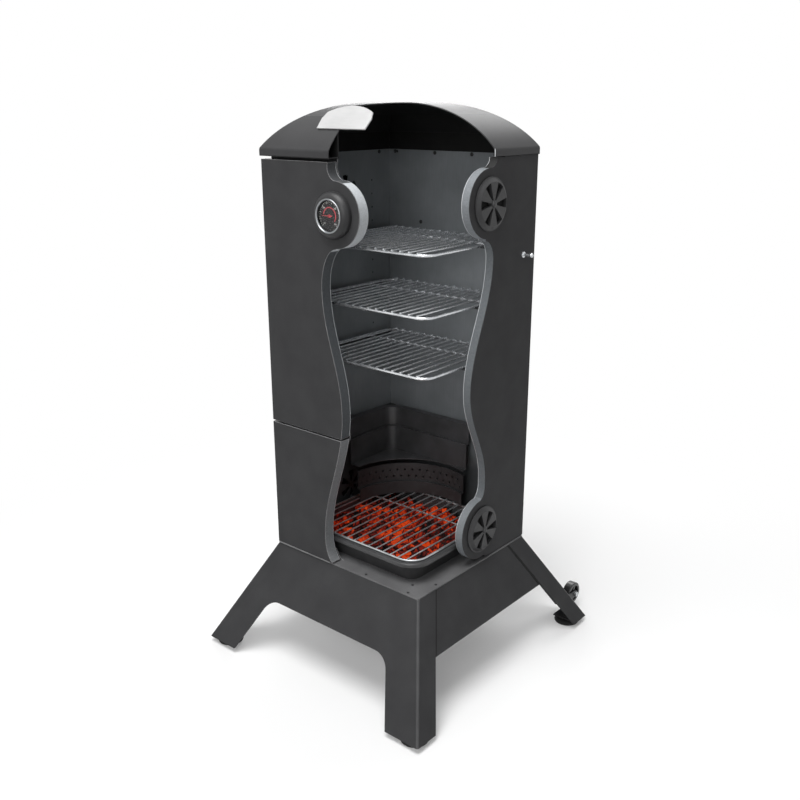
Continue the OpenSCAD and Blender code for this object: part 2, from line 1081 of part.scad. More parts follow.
// Domed housing: an upright edge, then a round shoulder up to the face.
module thermometer_housing() {
    r = thermo_d / 2;
    edge = 5;
    shoulder = thermo_h - edge;
    finish(black)
        at_thermo()
            rotate_extrude()
                difference() {
                    union() {
                        translate([stem_r + run_fit, 0])
                            square([r - stem_r - run_fit, edge]);
                        intersection() {
                            translate([r - shoulder, edge])
                                circle(shoulder);
                            translate([stem_r + run_fit, 0])
                                square([r, thermo_h]);
                        }
                        translate([stem_r + run_fit, 0])
                            square([r - shoulder - stem_r - run_fit, thermo_h]);
                    }
                    translate([0, dial_floor])
                        square([thermo_face_r + 0.4, thermo_h]);
                }
}

module thermometer_ring() {
    r = thermo_face_r;
    finish(chrome)
        at_thermo()
            rotate_extrude()
                polygon([[r, dial_floor + 2.2], [r, thermo_h], [r - 0.8, thermo_h + 0.8],
                    [r - 2, thermo_h + 0.8], [r - 3.2, thermo_h - 0.6], [r - 3.2, dial_floor + 5],
                    [r - 1.7, dial_floor + 5], [r - 1.7, dial_floor + 2.2]]);
}

module thermometer_dial() {
    finish(black)
        at_thermo() {
            translate([0, 0, dial_floor])
                difference() {
                    cylinder(r = thermo_face_r, h = 2.2);
                    translate([0, 0, -1])
                        cylinder(r = stem_r + run_fit, h = 2);
                }
            translate([0, 0, dial_floor + 2])
                cylinder(r = 1.2, h = 1.7);
        }
}

module thermometer_needle() {
    finish("red")
        at_thermo()
            translate([0, 0, dial_floor + 2.5])
                difference() {
                    union() {
                        cylinder(r = 3, h = 1.1);
                        linear_extrude(0.7)
                            polygon([[-dial_r + 9, 0], [-2, 1], [7, 1], [7, -1], [-2, -1]]);
                    }
                    translate([0, 0, -1])
                        cylinder(r = 1.2 + run_fit, h = 4);
                }
}

module thermometer_lens() {
    finish([0.8, 0.9, 0.95, 0.3])
        at_thermo()
            translate([0, 0, dial_floor + 4])
                cylinder(r = thermo_face_r - 1.9, h = 1);
}

module thermometer_stem() {
    finish(chrome)
        at_thermo() {
            translate([0, 0, -door_t - 58])
                cylinder(r = stem_r, h = door_t + 58 + dial_floor + 1);
            translate([0, 0, -door_t - 6])
                cylinder(r = 10, h = 6, $fn = 6);
        }
}

// Dampers

// Frame on a side wall's outer face: z points away from the wall.
module at_damper(side, level) {
    translate([side * half_w, damper_y, damper_zs[level]])
        rotate([0, side * 90, 0])
            children();
}

module vent_plates() {
    finish(black)
        for (side = [-1, 1], level = [0, 1])
            at_damper(side, level)
                linear_extrude(plate_t)
                    difference() {
                        circle(damper_d / 2 - 2);
                        circle(rivet_r + run_fit);
                        petal_slots(slot_out);
                    }
}

module damper(side, level) {
    r = damper_d / 2;
    lift = plate_t + pass_gap;
    finish(black)
        at_damper(side, level)
            translate([0, 0, lift])
                difference() {
                    rotate_extrude()
                        polygon([[rivet_r + run_fit, 0], [r, 0], [r, 1.5],
                            [r - 3, 2], [r - 9, damper_h - 0.5], [r - 10.5, damper_h],
                            [rivet_r + run_fit, damper_h]]);
                    translate([0, 0, -1])
                        linear_extrude(damper_h + 2)
                            rotate(180 / petals)
                                petal_slots(petal_out);
                }
}

module left_lower_damper() {
    damper(-1, 0);
}

module left_upper_damper() {
    damper(-1, 1);
}

module right_lower_damper() {
    damper(1, 0);
}

module right_upper_damper() {
    damper(1, 1);
}

module damper_rivets() {
    lift = plate_t + pass_gap + damper_h + 0.3;
    finish(chrome)
        for (side = [-1, 1], level = [0, 1])
            at_damper(side, level)
                rotate_extrude()
                    polygon([[0, -4], [5, -3], [5, 0], [rivet_r, 0], [rivet_r, lift],
                        [7, lift], [6, lift + 2], [0, lift + 3]]);
}

// Tool peg on the right wall, near its back edge

module at_peg() {
    translate([half_w, half_d - 45, cab_top - 207])
        rotate([0, 90, 0])
            children();
}

module peg_hole() {
    at_peg()
        cylinder(r = peg_r, h = 60, center = true);
}

module tool_peg() {
    finish(chrome)
        at_peg() {
            translate([0, 0, -peg_in])
                cylinder(r = peg_r, h = peg_in + 20);
            cylinder(r = 6.5, h = 2.5);
            translate([0, 0, 21])
                sphere(r = 5);
        }
}

// Racks

// Bent wire frame of a rack: four straight runs and four bent corners.
module wire_loop(w, d, r, wire) {
    for (s = [-1, 1]) {
        translate([-w / 2 + r, s * d / 2, 0])
            rotate([0, 90, 0])
                cylinder(d = wire, h = w - 2 * r);
        translate([s * w / 2, d / 2 - r, 0])
            rotate([90, 0, 0])
                cylinder(d = wire, h = d - 2 * r);
    }
    for (i = [0:3])
        rotate([0, 0, 90 * i])
            translate(i % 2 == 0 ? [w / 2 - r, d / 2 - r, 0] : [d / 2 - r, w / 2 - r, 0])
                rotate_extrude(angle = 90)
                    translate([r, 0])
                        circle(d = wire, $fn = 24);
}

// Wire grid: a bent frame with rods welded across its top, each ending on the frame.
module grid(w, d, r, wire, rod, rods) {
    lift = (wire + rod) / 2 - 0.4;
    mid_w = w - wire;
    mid_d = d - wire;
    wire_loop(mid_w, mid_d, r, wire);
    for (i = [1:rods]) {
        x = mid_w * (i / (rods + 1) - 0.5);
        past = max(0, abs(x) - mid_w / 2 + r);
        reach = mid_d / 2 - r + sqrt(r * r - past * past) + wire / 3;
        translate([x, reach, lift])
            rotate([90, 0, 0])
                cylinder(d = rod, h = 2 * reach, $fn = 16);
    }
    translate([-mid_w / 2, d / 5, 0.4])
        rotate([0, 90, 0])
            cylinder(d = wire - 1, h = mid_w);
}

module rack(level) {
    finish(chrome)
        translate([0, rack_y, deck_top + rack_z + level * rack_step])
            grid(rack_w, rack_d, rack_r, rack_wire, rack_rod, rack_rods);
}

module top_rack() {
    rack(2);
}

module middle_rack() {
    rack(1);
}

module bottom_rack() {
    rack(0);
}

// Fire parts

// Sweeps a wall profile round a rounded rectangle: profile x points out from the outline, y points up.
module swept(w, d, r) {
    for (s = [0, 1]) {
        mirror([0, s, 0])
            translate([0, d / 2, 0])
                sideways(-w / 2 + r, w / 2 - r)
                    children();
        mirror([s, 0, 0])
            translate([w / 2, 0, 0])
                upright(-d / 2 + r, d / 2 - r)
                    children();
        for (t = [0, 1])
            mirror([s, 0, 0])
                mirror([0, t, 0])
                    translate([w / 2 - r, d / 2 - r, 0])
                        rotate_extrude(angle = 90)
                            translate([r, 0])
                                children();
    }
}

// Pressed tray: a flat rim with a round turned-down lip, walls that slope in, and a floor.
module charcoal_tray() {
    lip = 4;
    drop = 9;
    inner = tray_floor + 6;
    finish(black)
        translate([0, tray_y, deck_top]) {
            swept(tray_w, tray_d, tray_r) {
                union() {
                    difference() {
                        union() {
                            translate([-tray_rim, tray_h - rim_t])
                                square([tray_rim - lip, rim_t]);
                            translate([-lip, tray_h - lip])
                                circle(lip);
                            translate([-rim_t + 1, tray_h - drop])
                                square([rim_t - 1, drop - lip]);
                        }
                        translate([-lip, tray_h - drop - 1])
                            square([lip - rim_t + 1, drop + 1 - lip]);
                    }
                    polygon([[-tray_rim - pan_t, tray_h], [-tray_rim + eps, tray_h],
                        [-tray_rim + eps, tray_h - rim_t], [-tray_floor, 0], [-inner, 0],
                        [-inner, pan_t], [-tray_floor - pan_t, pan_t]]);
                }
            }
            linear_extrude(pan_t)
                round_rect(tray_w - 2 * inner + 1, tray_d - 2 * inner + 1, tray_r - inner + 0.5);
        }
}

module charcoal_grate() {
    wire = 5;
    finish(chrome)
        translate([0, tray_y, tray_top + wire / 2])
            grid(tray_w - 2 * grate_in, tray_d - 2 * grate_in, tray_r - grate_in, wire, 3.5, 15);
}

function hash(i, k) = (sin(i * 127.1 + k * 311.7) * 43758.5) % 1;

// Bed of lump charcoal: broken blocks on a layer of embers, all inside the tray.
module charcoal() {
    edge = tray_floor + pan_t + 1;
    bank = edge - tray_slope / 2;
    w = tray_w - 2 * bank;
    d = tray_d - 2 * bank;
    nx = 10;
    ny = 9;
    size = 30;
    step = [(w - 40) / (nx - 1), (d - 40) / (ny - 1)];
    finish("orangered")
        translate([0, tray_y, deck_top + pan_t])
            intersection() {
                union() {
                    linear_extrude(tray_h / 2)
                        round_rect(tray_w - 2 * edge, tray_d - 2 * edge, tray_r - edge);
                    translate([0, 0, tray_h / 2])
                        linear_extrude(tray_h / 2 - pan_t - 2)
                            round_rect(w, d, tray_r - bank);
                }
                union() {
                    box([-w, -d, 0], [w, d, 14]);
                    for (i = [0:nx - 1], j = [0:ny - 1]) {
                        n = i + nx * j;
                        translate([(i - (nx - 1) / 2) * step[0], (j - (ny - 1) / 2) * step[1],
                            16 + 5 * abs(hash(n, 1))])
                            rotate([50 * hash(n, 2), 50 * hash(n, 3), 90 * hash(n, 4)])
                                cube([size, size * 0.8, 20], center = true);
                    }
                }
            }
}

module charcoal_ring() {
    bead = 31;
    finish(black)
        difference() {
            translate([ring_c[0], ring_c[1], ring_z])
                rotate_extrude($fn = 128)
                    polygon([[ring_r - 6, 0], [ring_r - 6 + pan_t, 0], [ring_r - 6 + pan_t, bead - pan_t],
                        [ring_r + pan_t, bead - pan_t], [ring_r + pan_t, ring_h - 3], [ring_r + 4, ring_h - 3],
                        [ring_r + 4, ring_h], [ring_r, ring_h], [ring_r, bead], [ring_r - 6, bead]]);
            for (a = [72:7:184], k = [0, 1])
                translate([ring_c[0], ring_c[1], ring_z + 43 + 17 * k])
                    rotate([0, 0, a + 3.5 * k])
                        translate([ring_r, 0, 0])
                            rotate([0, 90, 0])
                                cylinder(r = 2.6, h = 20, center = true, $fn = 16);
            fire_cut(0);
        }
}

// Pressed pan with a step in its walls, hung by its rim from the rails.
module water_pan() {
    rim = rail_w - 1.4;
    ledge = rim + 9;
    finish(black)
        difference() {
            translate([0, pan_y, pan_rim_z - pan_h])
                difference() {
                    union() {
                        linear_extrude(pan_h)
                            round_rect(pan_w - 2 * ledge, pan_d - 2 * ledge, pan_r - ledge);
                        translate([0, 0, pan_h - pan_step])
                            linear_extrude(pan_step)
                                round_rect(pan_w - 2 * rim, pan_d - 2 * rim, pan_r - rim);
                        translate([0, 0, pan_h - rim_t])
                            linear_extrude(rim_t)
                                round_rect(pan_w, pan_d, pan_r);
                    }
                    translate([0, 0, pan_t])
                        linear_extrude(pan_h)
                            round_rect(pan_w - 2 * (ledge + pan_t), pan_d - 2 * (ledge + pan_t),
                                pan_r - ledge - pan_t);
                    translate([0, 0, pan_h - pan_step + pan_t])
                        linear_extrude(pan_h)
                            round_rect(pan_w - 2 * (rim + pan_t), pan_d - 2 * (rim + pan_t),
                                pan_r - rim - pan_t);
                }
            fire_cut(ring_r - 4);
        }
}

front_leg_panel();
rear_leg_panel();
side_aprons();
base_deck();
levelling_feet();
wheel_brackets();
left_wheel();
right_wheel();
axle_bolts();
left_side_panel();
right_side_panel();
back_panel();
left_insulation();
right_insulation();
back_insulation();
left_liner();
right_liner();
back_liner();
front_frame();
rack_rails();
pan_rails();
roof_soffit();
roof_shell();
badge_plate();
upper_door_skin();
upper_door_insulation();
upper_door_liner();
upper_door_seal();
lower_door_skin();
lower_door_insulation();
lower_door_liner();
lower_door_seal();
body_hinge_leaves();
upper_door_hinge_leaves();
lower_door_hinge_leaves();
hinge_pins();
thermometer_housing();
thermometer_ring();
thermometer_dial();
thermometer_needle();
thermometer_lens();
thermometer_stem();
vent_plates();
left_lower_damper();
left_upper_damper();
right_lower_damper();
right_upper_damper();
damper_rivets();
tool_peg();
top_rack();
middle_rack();
bottom_rack();
water_pan();
charcoal_tray();
charcoal_grate();
charcoal();
charcoal_ring();
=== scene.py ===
"""Looks of an upright charcoal smoker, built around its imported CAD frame."""

import logging
import math
from dataclasses import dataclass
from enum import Enum
from typing import Any, Callable, Iterable, Sequence

import bmesh
import bpy
from mathutils import Matrix, Vector


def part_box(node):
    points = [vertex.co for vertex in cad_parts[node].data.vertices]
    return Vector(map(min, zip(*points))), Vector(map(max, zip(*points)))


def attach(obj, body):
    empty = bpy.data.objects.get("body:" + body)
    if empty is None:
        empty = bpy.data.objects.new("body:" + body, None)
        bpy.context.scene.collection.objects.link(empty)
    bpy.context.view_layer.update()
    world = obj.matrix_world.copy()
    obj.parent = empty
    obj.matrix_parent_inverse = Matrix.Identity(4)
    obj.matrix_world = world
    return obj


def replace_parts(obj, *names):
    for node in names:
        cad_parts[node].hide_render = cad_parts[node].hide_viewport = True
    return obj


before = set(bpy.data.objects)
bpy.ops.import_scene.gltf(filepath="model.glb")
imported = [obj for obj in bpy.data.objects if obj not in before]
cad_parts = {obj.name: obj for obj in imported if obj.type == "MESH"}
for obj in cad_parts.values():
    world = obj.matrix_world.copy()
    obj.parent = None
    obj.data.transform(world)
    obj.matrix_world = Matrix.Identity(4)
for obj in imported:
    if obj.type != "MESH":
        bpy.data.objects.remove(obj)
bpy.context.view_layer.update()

logging.basicConfig(level=logging.INFO, format="%(message)s")
LOG = logging.getLogger("smoker")

# Units, picture size and the stand's middle behind the cabinet's.
MM = 0.001
IMAGE_PX = 800
STAND_Y_MM = 27.358
WHITE = "#ffffff"
# Limits for merging corners, joining faces and telling faces apart.
MERGE_MM = 0.005
FLAT = math.radians(0.4)
SHARP = math.radians(40)
FACING = 0.9
EDGE_ON = 0.5
# Rounding of cut sheets and boards, in millimetres.
SHEET_ROUND = 0.25
BOARD_ROUND = 0.3
# Screw heads.
HEAD_SIDES = 16
HEAD_MM = 1.2
DOME_SHARE = 0.78
DOME_FLATNESS = 0.55
# Hinges on the left side.
HINGE_X = -212.5
HINGE_Y = -177.5
LOWER_HINGES = (310.0, 496.0)
UPPER_HINGES = (626.0, 1061.0)
LEAF_SCREW_DZ = 18.0
LEAF_SCREW_R = 3.4

Point = tuple[float, float, float]
Pair = tuple[float, float]
Tree = bpy.types.NodeTree
Node = bpy.types.Node
Socket = bpy.types.NodeSocket
Material = bpy.types.Material
Mesh = bpy.types.Mesh
Object = bpy.types.Object
Face = bmesh.types.BMFace
Shape = bmesh.types.BMesh


class Body(Enum):
    """Bodies of the frame that pieces ride on."""

    CABINET = "cabinet"
    UPPER_DOOR = "upper_door"
    LOWER_DOOR = "lower_door"


def linear(hex_colour: str, alpha: float = 1.0) -> tuple[float, float, float, float]:
    """Turns an sRGB hex colour into linear light.

    Args:
        hex_colour: Six hex digits with a leading hash.
        alpha: Fourth value of the result.

    Returns:
        Red, green, blue and alpha, linear.
    """
    parts = [int(hex_colour[i : i + 2], 16) / 255 for i in (1, 3, 5)]
    light = [c / 12.92 if c <= 0.04045 else ((c + 0.055) / 1.055) ** 2.4 for c in parts]
    return (light[0], light[1], light[2], alpha)


def per_metre(size_mm: float) -> float:
    """Texture scale that gives features of about size_mm."""
    return 1.0 / (size_mm * MM)


def place(x: float, y: float, z: float) -> Vector:
    """Point in the row frame, in metres, from cabinet millimetres."""
    return Vector((x * MM, (y - STAND_Y_MM) * MM, z * MM))


# Node helpers


def add_node(tree: Tree, kind: str, inputs: dict[Any, Any] | None = None, **settings: Any) -> Node:
    """Adds a node with its settings and links.

    Args:
        tree: Node tree that takes the node.
        kind: Node type name, where a shader node's goes without its prefix.
        inputs: Socket name or number to a value, to the socket that feeds it, to the node whose first output
            does, or to a list of these.
        **settings: Attributes to set; stops is a list of ramp (place, colour) pairs.

    Returns:
        The new node.
    """
    node = tree.nodes.new(kind if "Node" in kind else "ShaderNode" + kind)
    for name, value in settings.items():
        if name == "stops":
            elements = node.color_ramp.elements
            while len(elements) < len(value):
                elements.new(0.5)
            for element, (spot, colour) in zip(elements, value):
                element.position, element.color = spot, colour
        else:
            setattr(node, name, value)
    for name, value in (inputs or {}).items():
        for feed in value if isinstance(value, list) else [value]:
            if isinstance(feed, (Node, Socket)):
                tree.links.new(feed.outputs[0] if isinstance(feed, Node) else feed, node.inputs[name])
            else:
                node.inputs[name].default_value = feed
    return node


def new_material(name: str) -> tuple[Material, Tree, Socket]:
    """Starts an empty material.

    Args:
        name: Name of the material.

    Returns:
        The material, its tree and a socket with Object coordinates.
    """
    material = bpy.data.materials.new(name)
    material.use_nodes = True
    tree = material.node_tree
    tree.nodes.clear()
    coordinates = add_node(tree, "TexCoord").outputs["Object"]
    return material, tree, coordinates


def close_material(tree: Tree, shader: Node) -> None:
    """Feeds a shader into the material's output."""
    add_node(tree, "OutputMaterial", {"Surface": shader})


# Finishes


@dataclass(frozen=True)
class Coating:
    """A coated or moulded surface: two close tones, a grain in the gloss and a fine bump."""

    name: str
    dark: str
    light: str
    roughness: Pair = (0.4, 0.5)
    metallic: float = 0.0
    cloud_mm: float = 60.0
    grain_mm: float = 2.0
    bump: float = 0.08
    depth_mm: float = 0.15
    specular: float = 0.5

    def material(self) -> Material:
        """Builds the material.

        Returns:
            The material.
        """
        material, tree, spot = new_material(self.name)
        cloud = add_node(tree, "TexNoise", {"Vector": spot, "Scale": per_metre(self.cloud_mm), "Detail": 4.0})
        grain = add_node(tree, "TexNoise", {"Vector": spot, "Scale": per_metre(self.grain_mm), "Detail": 2.0})
        tone = add_node(tree, "ValToRGB", {"Fac": cloud}, stops=[(0.3, linear(self.dark)), (0.7, linear(self.light))])
        gloss = add_node(tree, "MapRange", {"Value": grain, "To Min": self.roughness[0], "To Max": self.roughness[1]})
        bump = add_node(tree, "Bump", {"Strength": self.bump, "Distance": self.depth_mm * MM, "Height": grain})
        shader = add_node(tree, "BsdfPrincipled", {
            "Base Color": tone, "Roughness": gloss, "Metallic": self.metallic, "Specular IOR Level": self.specular,
            "Normal": bump})
        close_material(tree, shader)
        return material


@dataclass(frozen=True)
class BrushedSheet:
    """Rolled or brushed metal: long fine streaks along one axis."""

    name: str
    dark: str
    light: str
    stretch: Point
    roughness: Pair = (0.35, 0.5)
    metallic: float = 1.0
    streak_mm: float = 1.5
    soot_mm: Pair = (-2.0, -1.0)
    soot_tone: float = 0.3
    ragged_mm: float = 60.0
    cloud_mm: float = 90.0
    streak_share: float = 0.45
    bump: float = 0.08
    depth_mm: float = 0.1

    def material(self) -> Material:
        """Builds the material.

        Returns:
            The material.
        """
        material, tree, spot = new_material(self.name)
        along = add_node(tree, "Mapping", {"Vector": spot, "Scale": self.stretch})
        streak = add_node(tree, "TexNoise", {"Vector": along, "Scale": per_metre(self.streak_mm), "Detail": 3.0})
        cloud = add_node(tree, "TexNoise", {"Vector": spot, "Scale": per_metre(self.cloud_mm), "Detail": 5.0})
        mixed = add_node(tree, "Math", {0: streak, 1: self.streak_share, 2: cloud}, operation="MULTIPLY_ADD")
        tone = add_node(tree, "ValToRGB", {"Fac": mixed}, stops=[(0.5, linear(self.dark)), (0.95, linear(self.light))])
        axes = add_node(tree, "SeparateXYZ", {"Vector": spot})
        # The tone darkens below a ragged height band given in millimetres.
        ragged = add_node(tree, "Math", {
            0: cloud, 1: self.ragged_mm * MM, 2: axes.outputs["Z"]}, operation="MULTIPLY_ADD")
        low_dim = add_node(tree, "MapRange", {
            "Value": ragged, "From Min": self.soot_mm[0] * MM, "From Max": self.soot_mm[1] * MM,
            "To Min": self.soot_tone, "To Max": 1.0})
        darkened_low = add_node(tree, "VectorMath", {0: tone, "Scale": low_dim}, operation="SCALE")
        gloss = add_node(tree, "MapRange", {"Value": streak, "To Min": self.roughness[0], "To Max": self.roughness[1]})
        bump = add_node(tree, "Bump", {"Strength": self.bump, "Distance": self.depth_mm * MM, "Height": streak})
        shader = add_node(tree, "BsdfPrincipled", {
            "Base Color": darkened_low, "Roughness": gloss, "Metallic": self.metallic, "Normal": bump})
        close_material(tree, shader)
        return material


@dataclass(frozen=True)
class FibreBoard:
    """Pressed mineral fibre: matt and pale, with short tangled fibres."""

    name: str
    dark: str
    light: str
    fibre_mm: float = 4.0
    bump: float = 0.12
    depth_mm: float = 0.4
    roughness: float = 0.7

    def material(self) -> Material:
        """Builds the material.

        Returns:
            The material.
        """
        material, tree, spot = new_material(self.name)
        fibre = add_node(tree, "TexNoise", {
            "Vector": spot, "Scale": per_metre(self.fibre_mm), "Detail": 6.0, "Distortion": 1.5})
        tone = add_node(tree, "ValToRGB", {
            "Fac": fibre}, stops=[(0.35, linear(self.dark)), (0.65, linear(self.light))])
        bump = add_node(tree, "Bump", {"Strength": self.bump, "Distance": self.depth_mm * MM, "Height": fibre})
        shader = add_node(tree, "BsdfPrincipled", {"Base Color": tone, "Roughness": self.roughness, "Normal": bump})
        close_material(tree, shader)
        return material


@dataclass(frozen=True)
class ClearGlass:
    """Flat clear gauge glass."""

    name: str
    smear_mm: float = 20.0
    roughness: Pair = (0.02, 0.06)
    ior: float = 1.1
    specular: float = 0.3

    def material(self) -> Material:
        """Builds the material.

        Returns:
            The material.
        """
        material, tree, spot = new_material(self.name)
        smear = add_node(tree, "TexNoise", {"Vector": spot, "Scale": per_metre(self.smear_mm)})
        gloss = add_node(tree, "MapRange", {"Value": smear, "To Min": self.roughness[0], "To Max": self.roughness[1]})
        shader = add_node(tree, "BsdfPrincipled", {
            "Base Color": linear(WHITE), "Roughness": gloss, "IOR": self.ior, "Transmission Weight": 1.0,
            "Specular IOR Level": self.specular})
        close_material(tree, shader)
        return material


@dataclass(frozen=True)
class Embers:
    """Burning lump charcoal: black crust, red heat in patches and orange where it is hottest."""

    name: str
    crust: str
    hearth: Point = (10.0, -95.0, 290.0)
    hearth_mm: float = 212.0
    patch_mm: float = 60.0
    shard_mm: float = 14.0
    fleck_mm: float = 6.0
    heat: float = 0.75
    grain_turn: Point = (0.3, 0.2, 0.7)
    grain_scale: Point = (1.0, 0.45, 1.0)
    seam_width: float = 0.1
    shard_share: float = 0.3
    fleck_share: float = 0.5
    seam: Pair = (-0.54, -0.32)
    bank_mm: float = 14.0
    bank: float = -0.4
    bump: float = 0.5
    depth_mm: float = 1.0
    roughness: float = 0.9
    specular: float = 0.2
    # Dark red base tones on the hottest parts paint a red glow under the lamps, beside the emitted glow.
    tones: Sequence[str] = ("#240704", "#3c0e06")
    glows: Sequence[str] = ("#000000", "#3c0b06", "#801707", "#d84410")

    def material(self) -> Material:
        """Builds the material.

        Returns:
            The material.
        """
        material, tree, spot = new_material(self.name)
        patch = add_node(tree, "TexNoise", {"Vector": spot, "Scale": per_metre(self.patch_mm), "Detail": 2.0})
        grain = add_node(tree, "Mapping", {"Vector": spot, "Rotation": self.grain_turn, "Scale": self.grain_scale})
        shard = add_node(tree, "TexVoronoi", {"Vector": grain, "Scale": per_metre(self.shard_mm)}, feature="F1")
        crackle = add_node(tree, "TexVoronoi", {
            "Vector": grain, "Scale": per_metre(self.shard_mm)}, feature="DISTANCE_TO_EDGE")
        own = add_node(tree, "SeparateXYZ", {"Vector": shard.outputs["Color"]})
        mixed = add_node(tree, "Math", {0: own.outputs["X"], 1: self.shard_share, 2: patch}, operation="MULTIPLY_ADD")
        seam = add_node(tree, "MapRange", {
            "Value": crackle, "From Max": self.seam_width, "To Min": self.seam[0], "To Max": self.seam[1]})
        warm = add_node(tree, "Math", {0: mixed, 1: seam}, operation="ADD")
        # Past the circle round the hearth the level drops, so the coals there stay dark.
        inside = add_node(tree, "VectorMath", {0: spot, 1: tuple(place(*self.hearth))}, operation="DISTANCE")
        outer_darkening = add_node(tree, "MapRange", {
            "Value": inside.outputs["Value"], "From Min": self.hearth_mm * MM,
            "From Max": (self.hearth_mm + self.bank_mm) * MM, "To Min": 0.0,
            "To Max": self.bank}, interpolation_type="SMOOTHSTEP")
        fleck = add_node(tree, "TexNoise", {"Vector": spot, "Scale": per_metre(self.fleck_mm), "Detail": 2.0})
        ashy = add_node(tree, "Math", {0: fleck, 1: self.fleck_share, 2: warm}, operation="MULTIPLY_ADD")
        level = add_node(tree, "Math", {0: ashy, 1: outer_darkening}, operation="ADD")
        tone = add_node(tree, "ValToRGB", {
            "Fac": level}, stops=list(zip((0.42, 0.54, 0.66), map(linear, (self.crust, *self.tones)))))
        glow = add_node(tree, "ValToRGB", {
            "Fac": level}, stops=list(zip((0.36, 0.46, 0.58, 0.76), map(linear, self.glows))))
        bump = add_node(tree, "Bump", {"Strength": self.bump, "Distance": self.depth_mm * MM, "Height": crackle})
        shader = add_node(tree, "BsdfPrincipled", {
            "Base Color": tone, "Roughness": self.roughness, "Specular IOR Level": self.specular,
            "Emission Color": glow, "Emission Strength": self.heat, "Normal": bump})
        close_material(tree, shader)
        return material


class Finish(Enum):
    """Finishes of the smoker, named for the real material; some are copies that paint light or shade."""

    # Powder coat over sheet steel: even dark grey, nearly matt.
    POWDER_COAT = Coating("powder_coat", "#3a3a3b", "#404041", (0.42, 0.52), grain_mm=2.5, bump=0.05, specular=0.05)
    # The roof's coat, baked to a broad satin sheen.
    ROOF_COAT = Coating("satin_roof_coat", "#2f2f30", "#343435", (0.38, 0.48), grain_mm=2.5, bump=0.05,
                        specular=0.22)
    # The same coat on rounded edges, paler and a little brighter: a painted edge highlight.
    WORN_COAT = Coating("painted_edge_highlight_coat", "#868687", "#a2a2a3", (0.32, 0.42), cloud_mm=30.0, specular=0.35)
    # The same coat on bends, a little paler and glossier: a painted highlight along them.
    BEND_COAT = Coating("painted_bend_highlight_coat", "#424243", "#4d4d4e", (0.36, 0.46), specular=0.18)
    # The same coat on the deck, paler as painted top light.
    DECK_COAT = Coating("deck_coat_painted_lighter", "#5a5a5b", "#69696a", (0.42, 0.55), grain_mm=2.5, bump=0.05,
                        specular=0.25)
    # Heat-proof black enamel of hinges, brackets, rails and screws; on the rails its black also paints the shadow line
    # under the racks.
    FIRE_ENAMEL = Coating("black_heat_enamel", "#141415", "#1d1d1e", (0.35, 0.5), cloud_mm=40.0)
    # Enamelled pressed steel of the pan: dark grey, a little sheen on the bends.
    PAN_ENAMEL = Coating("vitreous_enamel", "#3a3a3b", "#48484a", (0.26, 0.38), cloud_mm=50.0, specular=0.45)
    # The same enamel on the ring, darkened by fire.
    RING_ENAMEL = Coating("fired_enamel", "#2c2c2d", "#39393a", (0.32, 0.45), cloud_mm=40.0, specular=0.4)
    # The same enamel on the tray, greyed by ash.
    TRAY_ENAMEL = Coating("ashen_enamel", "#353536", "#414142", (0.32, 0.45), cloud_mm=40.0, specular=0.4)
    # Inside of the roof: flat black.
    ROOF_INSIDE = Coating("flat_black_paint", "#111111", "#191919", (0.6, 0.75), specular=0.15)
    # Moulded nylon of dampers and gauge housing: fine spark-eroded grain.
    NYLON = Coating("moulded_nylon", "#252526", "#2f2f30", (0.38, 0.5), grain_mm=1.5, bump=0.1, specular=0.3)
    # The dampers' nylon, paled by sun and heat.
    DAMPER_NYLON = Coating("paled_nylon", "#2d2d2e", "#383839", (0.38, 0.5), grain_mm=1.5, bump=0.1, specular=0.3)
    # Moulded wheels: harder and shinier.
    WHEEL = Coating("moulded_wheel", "#1a1a1b", "#252526", (0.2, 0.32), grain_mm=1.5, specular=0.6)
    # Rubber of the feet: matt and black.
    RUBBER = Coating("black_rubber", "#0e0e0e", "#171717", (0.7, 0.85), grain_mm=1.5, bump=0.2, specular=0.3)
    # Zinc or chrome plated wire: bright, slightly rough from welding and heat.
    CHROME = Coating("chrome_plate", "#bec1c4", "#dcdee0", (0.2, 0.32), 0.8, cloud_mm=25.0, bump=0.03)
    # The same plate on the fire grate, dulled by soot and heat.
    SOOTED_CHROME = Coating("sooted_plate", "#a6a9ab", "#cbced0", (0.24, 0.38), 0.75, cloud_mm=22.0, bump=0.05)
    # Satin plate of the gauge's ring.
    SATIN_PLATE = Coating("satin_plate", "#85888a", "#9b9ea0", (0.3, 0.42), 0.9, cloud_mm=18.0)
    # Aluminised sheet of the chamber: dull grey rolled metal, darker towards the bottom below about 420 to 500 mm,
    # with a ragged edge.
    LINER = BrushedSheet("aluminised_sheet", "#74787b", "#84888b", (1.0, 1.0, 0.05), (0.45, 0.6), 0.25,
                         soot_mm=(420.0, 500.0))
    # Sawn edge of the sheets round the display opening: bright and clean.
    SAWN_EDGE = BrushedSheet("sawn_sheet_edge", "#b4b7b9", "#d0d3d5", (1.0, 1.0, 0.2), (0.3, 0.45), 0.5)
    # Plaque of brushed and lacquered aluminium: pale silver.
    PLAQUE = BrushedSheet("brushed_aluminium", "#a6a6a6", "#b6b6b6", (0.05, 1.0, 1.0), (0.4, 0.55), 0.2)
    # Pressed fibre board between the double walls: pale grey and matt.
    FIBRE = FibreBoard("mineral_fibre_board", "#54585b", "#626669")
    # The same board along the upper door's cut, darker as painted shade.
    SMOKED_FIBRE = FibreBoard("fibre_board_painted_shade", "#34373a", "#404346")
    # The same board along the lower door's cut, paler as painted light.
    PALED_FIBRE = FibreBoard("fibre_board_painted_light", "#6a6c6e", "#787a7c")
    # The same board in the upper door's neck, near black.
    NECK_FIBRE = FibreBoard("near_black_neck_fibre_board", "#2b2d2f", "#383a3c")
    # The same board round the gauge's hole, paler as a painted highlight.
    DOOR_COLLAR = FibreBoard("fibre_gauge_rim_painted_highlight", "#abafb2", "#babec1", bump=0.1)
